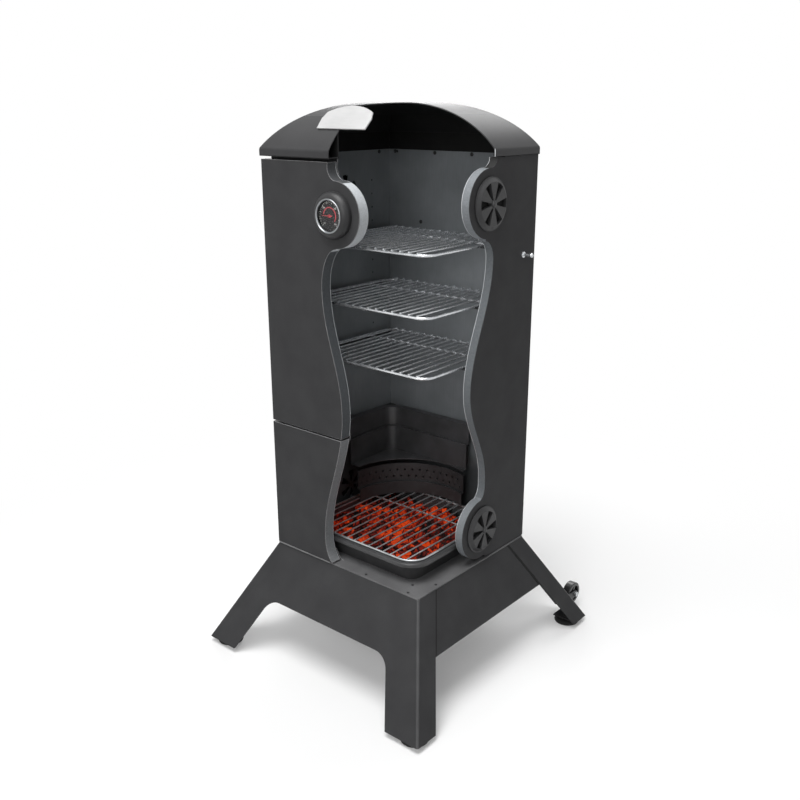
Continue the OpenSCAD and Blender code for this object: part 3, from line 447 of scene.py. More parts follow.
    # The same board round the dampers' holes, greyer, also paler as a painted highlight.
    WALL_COLLAR = FibreBoard("fibre_damper_rim_painted_highlight", "#6c7073", "#7a7e82", bump=0.1)
    # That board, near black, on its faces behind the chamber's sheets and in the walls' necks.
    SCORCHED = FibreBoard("near_black_fibre_board", "#0b0b0b", "#151515")
    # Woven glass-fibre rope of the door seals: black and fuzzy.
    ROPE = FibreBoard("glass_fibre_rope", "#151515", "#262626", 2.0, 0.5)
    # Screen-printed marks of the dial.
    DIAL_MARKS = Coating("pale_dial_ink", "#a9a9a4", "#b9b9b4", (0.5, 0.6))
    # Red ink of the dial's band and the needle.
    DIAL_RED = Coating("red_dial_ink", "#9c343a", "#b5454a", (0.5, 0.6))
    # Dial face: matt black lacquer.
    DIAL_FACE = Coating("dial_lacquer", "#0b0b0c", "#111112", (0.5, 0.6))
    # Clear glass over the dial.
    GLASS = ClearGlass("gauge_glass")
    # Lump charcoal, burning.
    EMBERS = Embers("glowing_charcoal", "#080707")

    def material(self) -> Material:
        """Returns the material of this finish, built once."""
        found = bpy.data.materials.get(self.value.name)
        return found or self.value.material()


# Mesh helpers


def linked(name: str, data: Any) -> Object:
    """Adds an object with this data to the scene.

    Args:
        name: Object name.
        data: Mesh, text, camera or lamp.

    Returns:
        The new object.
    """
    obj = bpy.data.objects.new(name, data)
    bpy.context.scene.collection.objects.link(obj)
    return obj


def to_mesh(name: str, bm: Shape) -> Mesh:
    """Turns an edited shape into a mesh and frees the shape.

    Args:
        name: Mesh name.
        bm: The shape.

    Returns:
        The mesh.
    """
    mesh = bpy.data.meshes.new(name)
    bm.to_mesh(mesh)
    bm.free()
    return mesh


def edge_on(face: Face, axis: int) -> bool:
    """Tells whether a face stands edge-on to an axis."""
    return abs(face.normal[axis]) < EDGE_ON


def piece(name: str, mesh: Mesh, finish: Finish, body: Body = Body.CABINET) -> Object:
    """Adds a finished mesh to the scene as a piece of the object.

    Args:
        name: Piece name.
        mesh: Mesh with its place in its vertices, in metres.
        finish: Finish of the whole piece, where the mesh has none yet.
        body: Body that it rides on.

    Returns:
        The new object.
    """
    if not mesh.materials:
        mesh.materials.append(finish.material())
    obj = linked(name, mesh)
    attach(obj, body.value)
    LOG.info("%s: %d faces on %s", name, len(mesh.polygons), body.value)
    return obj


def dress(nodes: Iterable[str], finish: Finish) -> None:
    """Gives CAD nodes a finish.

    Args:
        nodes: Names of the nodes.
        finish: Finish they take.
    """
    for name in nodes:
        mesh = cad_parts[name].data
        mesh.materials.clear()
        mesh.materials.append(finish.material())
        LOG.info("%s: %s", name, finish.name)


def bake(obj: Object) -> Mesh:
    """Turns an object with modifiers into a plain mesh and removes the object.

    Args:
        obj: Object linked to the scene.

    Returns:
        Its evaluated mesh.
    """
    graph = bpy.context.evaluated_depsgraph_get()
    mesh = bpy.data.meshes.new_from_object(obj.evaluated_get(graph))
    bpy.data.objects.remove(obj)
    return mesh


def node_copy(node: str) -> Shape:
    """Copies a CAD node's mesh with its loose triangles merged and its flat faces joined.

    Args:
        node: Name of the node.

    Returns:
        The copy.
    """
    bm = bmesh.new()
    bm.from_mesh(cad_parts[node].data)
    bmesh.ops.remove_doubles(bm, verts=bm.verts, dist=MERGE_MM * MM)
    bmesh.ops.dissolve_limit(bm, angle_limit=FLAT, verts=bm.verts, edges=bm.edges)
    return bm


def softened(
    node: str,
    finishes: Sequence[Finish],
    round_mm: float,
    choose: Callable[[Face], int] | None = None,
    edge_highlight: Finish | None = None,
    body: Body = Body.CABINET,
) -> None:
    """Replaces a CAD node with a copy whose sharp edges are rounded over.

    Args:
        node: Name of the node.
        finishes: Finishes that its faces can take.
        round_mm: Width of the rounding.
        choose: Picks a finish number for a face before rounding.
        edge_highlight: Finish of the rounded edges, where it differs; a paler one there is a painted edge highlight.
        body: Body that it rides on.
    """
    bm = node_copy(node)
    if choose:
        for face in bm.faces:
            face.material_index = choose(face)
    mesh = to_mesh(node + "_soft", bm)
    mesh.shade_smooth()
    for finish in finishes:
        mesh.materials.append(finish.material())
    holder = linked(node + "_soft", mesh)
    edge = holder.modifiers.new("edge", "BEVEL")
    edge.width = round_mm * MM
    edge.segments = 2
    edge.limit_method = "ANGLE"
    edge.angle_limit = SHARP
    edge.miter_outer = "MITER_ARC"
    # A separate edge finish paints a highlight along the rounded edges.
    if edge_highlight:
        mesh.materials.append(edge_highlight.material())
        edge.material = len(finishes)
    level = holder.modifiers.new("level", "WEIGHTED_NORMAL")
    level.mode = "FACE_AREA"
    level.weight = 100
    level.keep_sharp = True
    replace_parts(piece(node + "_finished", bake(holder), finishes[0], body), node)


def lathe(bm: Shape, profile: Sequence[Pair], foot: Vector, steps: int = 40) -> None:
    """Turns a profile round an upright axis into a mesh.

    Args:
        bm: Mesh that takes the faces.
        profile: Radius and height of each corner in millimetres, from the axis at the foot to the axis on top.
        foot: Place of the profile's origin in metres.
        steps: Sides of the turned shape.
    """
    rings = []
    for r, z in profile:
        count = steps if r > 0 else 1
        rings.append([bm.verts.new(foot + Vector((r * MM * math.cos(2 * math.pi * k / steps),
                                                  r * MM * math.sin(2 * math.pi * k / steps), z * MM)))
                      for k in range(count)])
    for a, b in zip(rings, rings[1:]):
        for k in range(steps):
            n = (k + 1) % steps
            corners = [a[k % len(a)], a[n % len(a)], b[n % len(b)], b[k % len(b)]]
            bm.faces.new(list(dict.fromkeys(corners)))


def sleeve(bm: Shape, rings: Sequence[Sequence[Vector]]) -> None:
    """Joins rings of corners into a closed sleeve with capped ends.

    Args:
        bm: Shape that takes the faces.
        rings: Corners of each cut along the sleeve, in metres.
    """
    cuts = [[bm.verts.new(corner) for corner in ring] for ring in rings]
    count = len(cuts[0])
    for a, b in zip(cuts, cuts[1:]):
        for k in range(count):
            n = (k + 1) % count
            bm.faces.new([a[k], a[n], b[n], b[k]])
    bm.faces.new(cuts[0])
    bm.faces.new(cuts[-1])
    bmesh.ops.recalc_face_normals(bm, faces=bm.faces)


def grown(base: Mesh, tree: Tree, sizes: dict[str, Any]) -> Mesh:
    """Runs a Geometry Nodes tree on a base mesh.

    Args:
        base: Mesh that the tree starts from.
        tree: Tree with named inputs.
        sizes: Input name to value.

    Returns:
        The plain mesh that results.
    """
    holder = linked(tree.name, base)
    modifier = holder.modifiers.new(tree.name, "NODES")
    modifier.node_group = tree
    for item in tree.interface.items_tree:
        if item.item_type == "SOCKET" and item.in_out == "INPUT" and item.name in sizes:
            modifier[item.identifier] = sizes[item.name]
    return bake(holder)


def new_tree(name: str, inputs: dict[str, str]) -> tuple[Tree, bpy.types.NodeOutputs]:
    """Starts a Geometry Nodes tree.

    Args:
        name: Name of the tree.
        inputs: Input name to kind of value.

    Returns:
        The tree and the values that it is given.
    """
    tree = bpy.data.node_groups.new(name, "GeometryNodeTree")
    tree.interface.new_socket("Geometry", in_out="INPUT", socket_type="NodeSocketGeometry")
    for label, kind in inputs.items():
        tree.interface.new_socket(label, in_out="INPUT", socket_type="NodeSocket" + kind)
    tree.interface.new_socket("Geometry", in_out="OUTPUT", socket_type="NodeSocketGeometry")
    return tree, add_node(tree, "NodeGroupInput").outputs


def close_tree(tree: Tree, shape: Node, finish: Finish) -> None:
    """Ends a Geometry Nodes tree in realized instances with a material.

    Args:
        tree: The tree.
        shape: Node with the geometry.
        finish: Finish of all its faces.
    """
    plain = add_node(tree, "GeometryNodeRealizeInstances", {"Geometry": shape})
    dressed = add_node(tree, "GeometryNodeSetMaterial", {"Geometry": plain, "Material": finish.material()})
    add_node(tree, "NodeGroupOutput", {0: dressed})


def fastener_tree() -> Tree:
    """Tree that sets a domed screw head on each point, turned to the point's facing.

    Returns:
        The tree.
    """
    tree, given = new_tree("screw_heads", {"Radius": "Float", "Height": "Float"})
    flange = add_node(tree, "GeometryNodeMeshCylinder", {
        "Vertices": HEAD_SIDES, "Radius": given["Radius"], "Depth": given["Height"]}, fill_type="TRIANGLE_FAN")
    crown = add_node(tree, "Math", {0: given["Radius"], 1: DOME_SHARE}, operation="MULTIPLY")
    dome = add_node(tree, "GeometryNodeMeshUVSphere", {
        "Segments": HEAD_SIDES, "Rings": HEAD_SIDES // 2, "Radius": crown})
    flat = add_node(tree, "CombineXYZ", {"X": 1.0, "Y": 1.0, "Z": DOME_FLATNESS})
    low = add_node(tree, "GeometryNodeTransform", {"Geometry": dome, "Scale": flat})
    head = add_node(tree, "GeometryNodeJoinGeometry", {0: [flange, low]})
    facing = add_node(tree, "GeometryNodeInputNamedAttribute", {"Name": "facing"}, data_type="FLOAT_VECTOR")
    turn = add_node(tree, "FunctionNodeAlignRotationToVector", {"Vector": facing.outputs["Attribute"]}, axis="Z")
    placed = add_node(tree, "GeometryNodeInstanceOnPoints", {
        "Points": given["Geometry"], "Instance": head, "Rotation": turn})
    close_tree(tree, placed, Finish.FIRE_ENAMEL)
    return tree


def screw_heads(
    name: str, spots: Sequence[tuple[Vector, Point]], radius_mm: float, body: Body = Body.CABINET
) -> None:
    """Adds screw heads on a list of places.

    Args:
        name: Piece name.
        spots: Place and outward direction of each head.
        radius_mm: Radius of a head.
        body: Body that they ride on.
    """
    base = bpy.data.meshes.new(name)
    base.from_pydata([tuple(spot) for spot, _ in spots], [], [])
    facing = base.attributes.new("facing", "FLOAT_VECTOR", "POINT")
    facing.data.foreach_set("vector", [value for _, way in spots for value in way])
    tree = bpy.data.node_groups.get("screw_heads") or fastener_tree()
    mesh = grown(base, tree, {"Radius": radius_mm * MM, "Height": HEAD_MM * MM})
    mesh.shade_smooth()
    mesh.set_sharp_from_angle(angle=SHARP)
    piece(name, mesh, Finish.FIRE_ENAMEL, body)


def hinge_screws(name: str, heights: Sequence[float], behind: float, body: Body = Body.CABINET) -> None:
    """Adds the two screws of each hinge leaf on the left side.

    Args:
        name: Piece name.
        heights: Heights of the hinges.
        behind: Distance of the screws behind the hinge line.
        body: Body that the leaves ride on.
    """
    spots = [(place(HINGE_X, HINGE_Y + behind, z + dz), (-1.0, 0.0, 0.0))
             for z in heights for dz in (-LEAF_SCREW_DZ, LEAF_SCREW_DZ)]
    screw_heads(name, spots, LEAF_SCREW_R, body)


# Sub-assemblies


@dataclass
class Base:
    """Splayed sheet-metal base with its feet and wheels."""

    sheet: Sequence[str] = ("front_leg_panel", "rear_leg_panel", "side_aprons")
    round_mm: float = 1.2
    foot_r: float = 16.0
    boot: Sequence[Pair] = (
        (0, 0), (27, 0), (29.2, 1.2), (30, 3.5), (29, 7), (25, 10), (16, 12), (4, 12), (4, 14.5),
        (7, 14.5), (7, 19.5), (4, 20.5), (0, 20.5),
    )
    half: Pair = (213.0, 197.0)
    splay: Pair = (112.0, 138.0)
    height: float = 238.0
    flange: float = 58.8
    apron: float = 116.0
    sheet_t: float = 2.5
    # Size of the black strips that paint the gap shadow at the flange edges.
    bead: float = 5.5
    bead_slope: float = 1.0
    bead_top: float = 0.012
    bead_foot: float = 0.004
    bend_share: float = 0.2
    deck_z: float = 250.0
    deck_screw_lift: float = 0.5
    deck_screw_r: float = 3.0
    hem: Sequence[Pair] = (
        (-0.5, -0.2), (0.6, -0.2), (1.5, 0.4), (1.9, 1.4), (1.7, 2.6), (-0.5, 2.6))
    # End of the hem's pale painted highlight.
    rub_x: float = -45.0
    deck_screws: Sequence[Pair] = ((57.0, -189.0), (166.0, -159.0), (179.0, -190.0), (203.0, -125.0))

    def bend(self, face: Face) -> int:
        """Tells the bends of the sheets, which take a painted highlight, from their flat sides.

        Args:
            face: Face of a leg panel or an apron.

        Returns:
            1 for a bend, 0 for a flat side.
        """
        return int(min(abs(face.normal.x), abs(face.normal.y)) > self.bend_share)

    def seams(self) -> None:
        """Adds black strips along the leg flanges where they lap over the aprons, as painted gap shadow."""
        bm = bmesh.new()
        lean = Vector((self.height, 0.0, self.splay[0])).normalized()
        under, level = -self.sheet_t, -self.sheet_t / 2
        profile = ((under, 0.0), (level, 0.0), (level, self.bead - self.bead_slope), (under, self.bead))
        for sx in (-1.0, 1.0):
            out = Vector((sx * lean.x, 0.0, lean.z))
            for sy in (-1.0, 1.0):
                back = Vector((0.0, -sy, 0.0))
                ends = []
                for t in (self.bead_top, self.apron / self.height - self.bead_foot):
                    edge = Vector((sx * (self.half[0] + self.splay[0] * t),
                                   sy * (self.half[1] - self.flange + self.splay[1] * t),
                                   self.deck_z - self.height * t))
                    ends.append([place(*(edge + out * up + back * off)) for up, off in profile])
                sleeve(bm, ends)
        piece("flange_gap_shadows", to_mesh("flange_gap_shadows", bm), Finish.RUBBER)

    def front_hem(self) -> None:
        """Adds the rolled hem along the deck's front edge, pale along its left part as a painted highlight."""
        bm = bmesh.new()
        sleeve(bm, [[place(x, -self.half[1] - out, self.deck_z - down) for out, down in self.hem]
                    for x in (-self.half[0], self.rub_x, self.half[0])])
        # Faces left of that end take the pale coat as a painted highlight, the rest the deck's coat.
        for face in bm.faces:
            face.material_index = int(face.calc_center_median().x > self.rub_x * MM)
        mesh = to_mesh("deck_hem", bm)
        for finish in (Finish.WORN_COAT, Finish.DECK_COAT):
            mesh.materials.append(finish.material())
        piece("deck_hem", mesh, Finish.WORN_COAT)

    def feet(self) -> None:
        """Adds the rubber boots of the levelling feet."""
        low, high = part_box("levelling_feet")
        bm = bmesh.new()
        for x in (low.x + self.foot_r * MM, high.x - self.foot_r * MM):
            for y in (low.y + self.foot_r * MM, high.y - self.foot_r * MM):
                lathe(bm, self.boot, Vector((x, y, low.z)))
        mesh = to_mesh("foot_boots", bm)
        mesh.shade_smooth()
        mesh.set_sharp_from_angle(angle=SHARP)
        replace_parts(piece("foot_boots", mesh, Finish.RUBBER), "levelling_feet")

    def build(self) -> None:
        """Dresses the base."""
        # Paler finishes on the sheets' bends and rounded edges are painted highlights.
        for node in self.sheet:
            softened(node, [Finish.POWDER_COAT, Finish.BEND_COAT], self.round_mm,
                     self.bend, Finish.WORN_COAT)
        # The deck's paler coat is painted top light; its rounded edges take the painted edge highlight.
        softened("base_deck", [Finish.DECK_COAT], self.round_mm, edge_highlight=Finish.WORN_COAT)
        dress(["left_wheel", "right_wheel"], Finish.WHEEL)
        dress(["wheel_brackets"], Finish.FIRE_ENAMEL)
        self.feet()
        # The black strips along the flange edges are painted gap shadow.
        self.seams()
        self.front_hem()
        spots = [(place(x, y, self.deck_z + self.deck_screw_lift), (0.0, 0.0, 1.0)) for x, y in self.deck_screws]
        screw_heads("deck_screws", spots, self.deck_screw_r)
        dress(["axle_bolts"], Finish.CHROME)


@dataclass
class Cabinet:
    """Double-walled cabinet, its frame and its rails."""

    skins: Sequence[str] = ("left_side_panel", "right_side_panel", "back_panel", "front_frame")
    cores: Sequence[tuple[str, Point]] = (
        ("left_insulation", (1.0, 0.0, 0.0)),
        ("right_insulation", (-1.0, 0.0, 0.0)),
        ("back_insulation", (0.0, -1.0, 0.0)),
    )
    liners: Sequence[str] = ("left_liner", "back_liner")
    rails: Sequence[str] = ("rack_rails", "pan_rails")
    skin_round: float = 0.5
    half_w: float = 210.0
    half_d: float = 202.5
    low: float = 250.0
    high: float = 1137.0
    screw_rows: int = 6
    screw_end: float = 30.0
    screw_side: float = 14.0
    screw_mid: float = 95.0
    screw_r: float = 4.0
    leaf_behind: float = 20.0
    damper_y: float = 30.0
    damper_zs: Sequence[float] = (328.0, 1047.0)
    collar_r: float = 73.0
    neck_z: float = 1117.0
    rivets: Sequence[Pair] = (
        (-171.5, 1132.0), (-53.0, 1132.0), (51.0, 1132.0), (155.0, 1132.0), (-93.0, 974.0), (93.0, 974.0))
    rivet_y: float = 182.2
    rivet_r: float = 4.4
    side_rivet: Point = (-189.7, 145.5, 1132.0)

    def build(self) -> None:
        """Dresses the cabinet."""
        for node in self.skins:
            # Rounded edges of the skins take a paler finish as a painted highlight.
            softened(node, [Finish.POWDER_COAT], self.skin_round, edge_highlight=Finish.WORN_COAT)
        for node, inward in self.cores:
            softened(node, [Finish.FIBRE, Finish.SCORCHED, Finish.WALL_COLLAR], BOARD_ROUND,
                     lambda face, way=Vector(inward): self.core_finish(face, way))
        dress(self.liners, Finish.LINER)
        # The rails' black is partly painted shadow under the racks.
        dress(self.rails, Finish.FIRE_ENAMEL)
        softened("right_liner", [Finish.LINER, Finish.SAWN_EDGE], SHEET_ROUND,
                 lambda face: int(edge_on(face, 0)))
        dress(["body_hinge_leaves"], Finish.FIRE_ENAMEL)
        dress(["hinge_pins", "tool_peg"], Finish.CHROME)
        self.screws()

    def core_finish(self, face: Face, inward: Vector) -> int:
        """Picks the finish of a face of the wall insulation.

        Args:
            face: The face.
            inward: Direction from the wall into the chamber.

        Returns:
            1 for the near-black faces, 2 for the painted highlight round the dampers, 0 for the rest.
        """
        centre = face.calc_center_median() / MM + Vector((0.0, STAND_Y_MM, 0.0))
        # Faces toward the chamber and faces above the neck height take the near-black board.
        if face.normal.dot(inward) > FACING or centre.z > self.neck_z:
            return 1
        reach = min(math.hypot(centre.y - self.damper_y, centre.z - z) for z in self.damper_zs)
        # Edge faces round the dampers take a paler board as a painted highlight.
        return 2 if edge_on(face, 0) and reach < self.collar_r else 0

    def screws(self) -> None:
        """Adds the screws of back panel and hinge leaves and the rivets of the liners."""
        side = self.half_w - self.screw_side
        pitch = (self.high - self.low - 2 * self.screw_end) / (self.screw_rows - 1)
        rows = [self.low + self.screw_end + i * pitch for i in range(self.screw_rows)]
        spots = [(x, z) for z in rows for x in (-side, side)]
        spots += [(x, z) for x in (-self.screw_mid, 0.0, self.screw_mid) for z in (rows[0], rows[-1])]
        backs = [(place(x, self.half_d, z), (0.0, 1.0, 0.0)) for x, z in spots]
        screw_heads("back_panel_screws", backs, self.screw_r)
        hinge_screws("hinge_screws", LOWER_HINGES + UPPER_HINGES, self.leaf_behind)
        inside = [(place(x, self.rivet_y, z), (0.0, -1.0, 0.0)) for x, z in self.rivets]
        inside.append((place(*self.side_rivet), (1.0, 0.0, 0.0)))
        screw_heads("liner_rivets", inside, self.rivet_r)


@dataclass
class Roof:
    """Vaulted roof with its plaque."""

    round_mm: float = 0.4
    plaque_round: float = 0.8
    inner_z: float = 1.10
    cut_y: float = -150.0
    inside_share: float = -0.25

    def side(self, face: Face) -> int:
        """Tells inside faces of the vault from outside ones.

        Args:
            face: Face of the roof shell.

        Returns:
            1 for a face that looks into the chamber, 2 for an edge of the display opening, 0 for the rest.
        """
        out = face.calc_center_median() - Vector((0.0, -STAND_Y_MM * MM, self.inner_z))
        if face.normal.y < -FACING and out.y > self.cut_y * MM:
            return 2
        return int(face.normal.dot(out.normalized()) < self.inside_share)

    def build(self) -> None:
        """Dresses the roof."""
        softened("roof_shell", [Finish.ROOF_COAT, Finish.ROOF_INSIDE, Finish.SAWN_EDGE],
                 self.round_mm, self.side)
        # The soffit's rounded edges take the outer coat as a painted highlight.
        softened("roof_soffit", [Finish.ROOF_INSIDE], self.round_mm, edge_highlight=Finish.POWDER_COAT)
        softened("badge_plate", [Finish.PLAQUE], self.plaque_round)


@dataclass
class Doors:
    """Upper and lower door."""

    skin_round: float = 0.6
    leaf_behind: float = -13.0
    gauge_z: float = 1030.0
    neck_z: float = 1092.0
    collar_r: float = 78.0

    def collar(self, face: Face) -> int:
        """Tells the ring round the gauge that takes a painted highlight from the rest of the insulation.

        Args:
            face: Face of a door's insulation.

        Returns:
            1 for the painted highlight round the gauge, 2 for the neck above it, 0 for the rest.
        """
        centre = face.calc_center_median() / MM
        # Above the neck height the door's board is near black.
        if centre.z > self.neck_z:
            return 2
        # Edge faces round the gauge take a paler board as a painted highlight.
        return int(edge_on(face, 1) and math.hypot(centre.x, centre.z - self.gauge_z) < self.collar_r)

    def build(self) -> None:
        """Dresses both doors."""
        # The upper door's cut board is darker as painted shade, the lower's paler as painted light.
        for level, body, core, hinges in (("upper", Body.UPPER_DOOR, Finish.SMOKED_FIBRE, UPPER_HINGES),
                                          ("lower", Body.LOWER_DOOR, Finish.PALED_FIBRE, LOWER_HINGES)):
            # Rounded edges of the door skins take a paler finish as a painted highlight.
            softened(f"{level}_door_skin", [Finish.POWDER_COAT], self.skin_round,
                     edge_highlight=Finish.WORN_COAT, body=body)
            softened(f"{level}_door_liner", [Finish.LINER, Finish.SAWN_EDGE], SHEET_ROUND,
                     lambda face: int(edge_on(face, 1)), body=body)
            softened(f"{level}_door_insulation", [core, Finish.DOOR_COLLAR, Finish.NECK_FIBRE],
                     BOARD_ROUND, self.collar, body=body)
            dress([f"{level}_door_seal"], Finish.ROPE)
            dress([f"{level}_door_hinge_leaves"], Finish.FIRE_ENAMEL)
            hinge_screws(f"{level}_door_hinge_screws", hinges, self.leaf_behind, body)


@dataclass
class Thermometer:
    """Dial thermometer on the upper door."""

    centre_z: float = 1030.0
    door_y: float = -202.5
    face: float = 14.2
    ink: float = 0.15
    arc_in: float = 15.6
    arc_out: float = 17.6
    arc_deg: Pair = (-38.0, 172.0)
    arc_steps: int = 48
    tick_end: float = 28.8
    marks: Sequence[tuple[str, int, float, float]] = (
        ("dial_long_ticks", 10, 4.6, 1.1), ("dial_short_ticks", 28, 2.4, 0.6))
    sweep: Pair = (-45.0, 225.0)
    number_r: float = 21.3
    number_mm: float = 4.6
    numbered: Sequence[int] = (100, 200, 300, 400)

    def at(self, x: float, y: float, lift: float) -> Vector:
        """Point on the dial from its own x, y and height above the face, in millimetres."""
        return place(x, self.door_y - self.face - lift, self.centre_z + y)

    def red_arc(self) -> None:
        """Adds the red band of the dial."""
        bm = bmesh.new()
        start, end = self.arc_deg
        corners = [(self.arc_in, 0.0), (self.arc_out, 0.0), (self.arc_out, self.ink), (self.arc_in, self.ink)]
        turns = [math.radians(start + (end - start) * i / self.arc_steps) for i in range(self.arc_steps + 1)]
        sleeve(bm, [[self.at(r * math.cos(a), r * math.sin(a), h) for r, h in corners] for a in turns])
        piece("dial_band", to_mesh("dial_band", bm), Finish.DIAL_RED, Body.UPPER_DOOR)

    def tick_tree(self) -> Tree:
        """Tree that lays ticks round the dial.

        Returns:
            The tree.
        """
        tree, given = new_tree("dial_ticks", {
            "Radius": "Float", "Start": "Float", "Step": "Float", "Count": "Int",
            "Length": "Float", "Width": "Float", "Thickness": "Float", "Centre": "Vector"})
        line = add_node(tree, "GeometryNodeMeshLine", {"Count": given["Count"]})
        index = add_node(tree, "GeometryNodeInputIndex")
        angle = add_node(tree, "Math", {0: index, 1: given["Step"], 2: given["Start"]}, operation="MULTIPLY_ADD")
        cosine = add_node(tree, "Math", {0: angle}, operation="COSINE")
        sine = add_node(tree, "Math", {0: angle}, operation="SINE")
        unit = add_node(tree, "CombineXYZ", {"X": cosine, "Z": sine})
        spoke = add_node(tree, "VectorMath", {0: unit, "Scale": given["Radius"]}, operation="SCALE")
        spot = add_node(tree, "VectorMath", {0: spoke, 1: given["Centre"]}, operation="ADD")
        points = add_node(tree, "GeometryNodeSetPosition", {"Geometry": line, "Position": spot})
        size = add_node(tree, "CombineXYZ", {"X": given["Length"], "Y": given["Thickness"], "Z": given["Width"]})
        bar = add_node(tree, "GeometryNodeMeshCube", {"Size": size})
        back = add_node(tree, "Math", {0: angle, 1: -1.0}, operation="MULTIPLY")
        turn = add_node(tree, "CombineXYZ", {"Y": back})
        rotation = add_node(tree, "FunctionNodeEulerToRotation", {0: turn})
        placed = add_node(tree, "GeometryNodeInstanceOnPoints", {
            "Points": points, "Instance": bar, "Rotation": rotation})
        close_tree(tree, placed, Finish.DIAL_MARKS)
        return tree

    def ticks(self) -> None:
        """Adds long and short ticks."""
        tree = self.tick_tree()
        centre = tuple(self.at(0.0, 0.0, self.ink / 2))
        start, end = (math.radians(a) for a in self.sweep)
        for name, count, length, width in self.marks:
            sizes = {"Radius": (self.tick_end - length / 2) * MM, "Start": start,
                     "Step": (end - start) / (count - 1), "Count": count, "Length": length * MM,
                     "Width": width * MM, "Thickness": self.ink * MM, "Centre": centre}
            mesh = grown(bpy.data.meshes.new(name), tree, sizes)
            piece(name, mesh, Finish.DIAL_MARKS, Body.UPPER_DOOR)

    def numbers(self) -> None:
        """Adds the numbers at every third long tick."""
        bm = bmesh.new()
        start, end = self.sweep
        for i, number in enumerate(self.numbered):
            angle = math.radians(end + (start - end) * i / (len(self.numbered) - 1))
            font = bpy.data.curves.new("dial_number", "FONT")
            font.body = str(number)
            font.size = self.number_mm * MM
            font.align_x = "CENTER"
            font.align_y = "CENTER"
            font.extrude = self.ink * MM / 2
            mesh = bake(linked("dial_number", font))
            spot = self.at(self.number_r * math.cos(angle), self.number_r * math.sin(angle), self.ink / 2)
            mesh.transform(Matrix.Translation(spot) @ Matrix.Rotation(math.pi / 2, 4, "X"))
            bm.from_mesh(mesh)
            bpy.data.meshes.remove(mesh)
        mesh = to_mesh("dial_numbers", bm)
        mesh.materials.clear()
        piece("dial_numbers", mesh, Finish.DIAL_MARKS, Body.UPPER_DOOR)

    def build(self) -> None:
        """Dresses the thermometer."""
        for part, finish in (("housing", Finish.NYLON), ("ring", Finish.SATIN_PLATE), ("stem", Finish.CHROME),
                             ("dial", Finish.DIAL_FACE), ("needle", Finish.DIAL_RED), ("lens", Finish.GLASS)):
            dress([f"thermometer_{part}"], finish)
        self.red_arc()
        self.ticks()
        self.numbers()


@dataclass
class Dampers:
    """Four turning dampers on their vent plates."""

    def build(self) -> None:
        """Dresses the dampers."""
        discs = [f"{side}_{level}_damper" for side in ("left", "right") for level in ("lower", "upper")]
        dress(discs + ["damper_rivets"], Finish.DAMPER_NYLON)
        dress(["vent_plates"], Finish.ROOF_INSIDE)


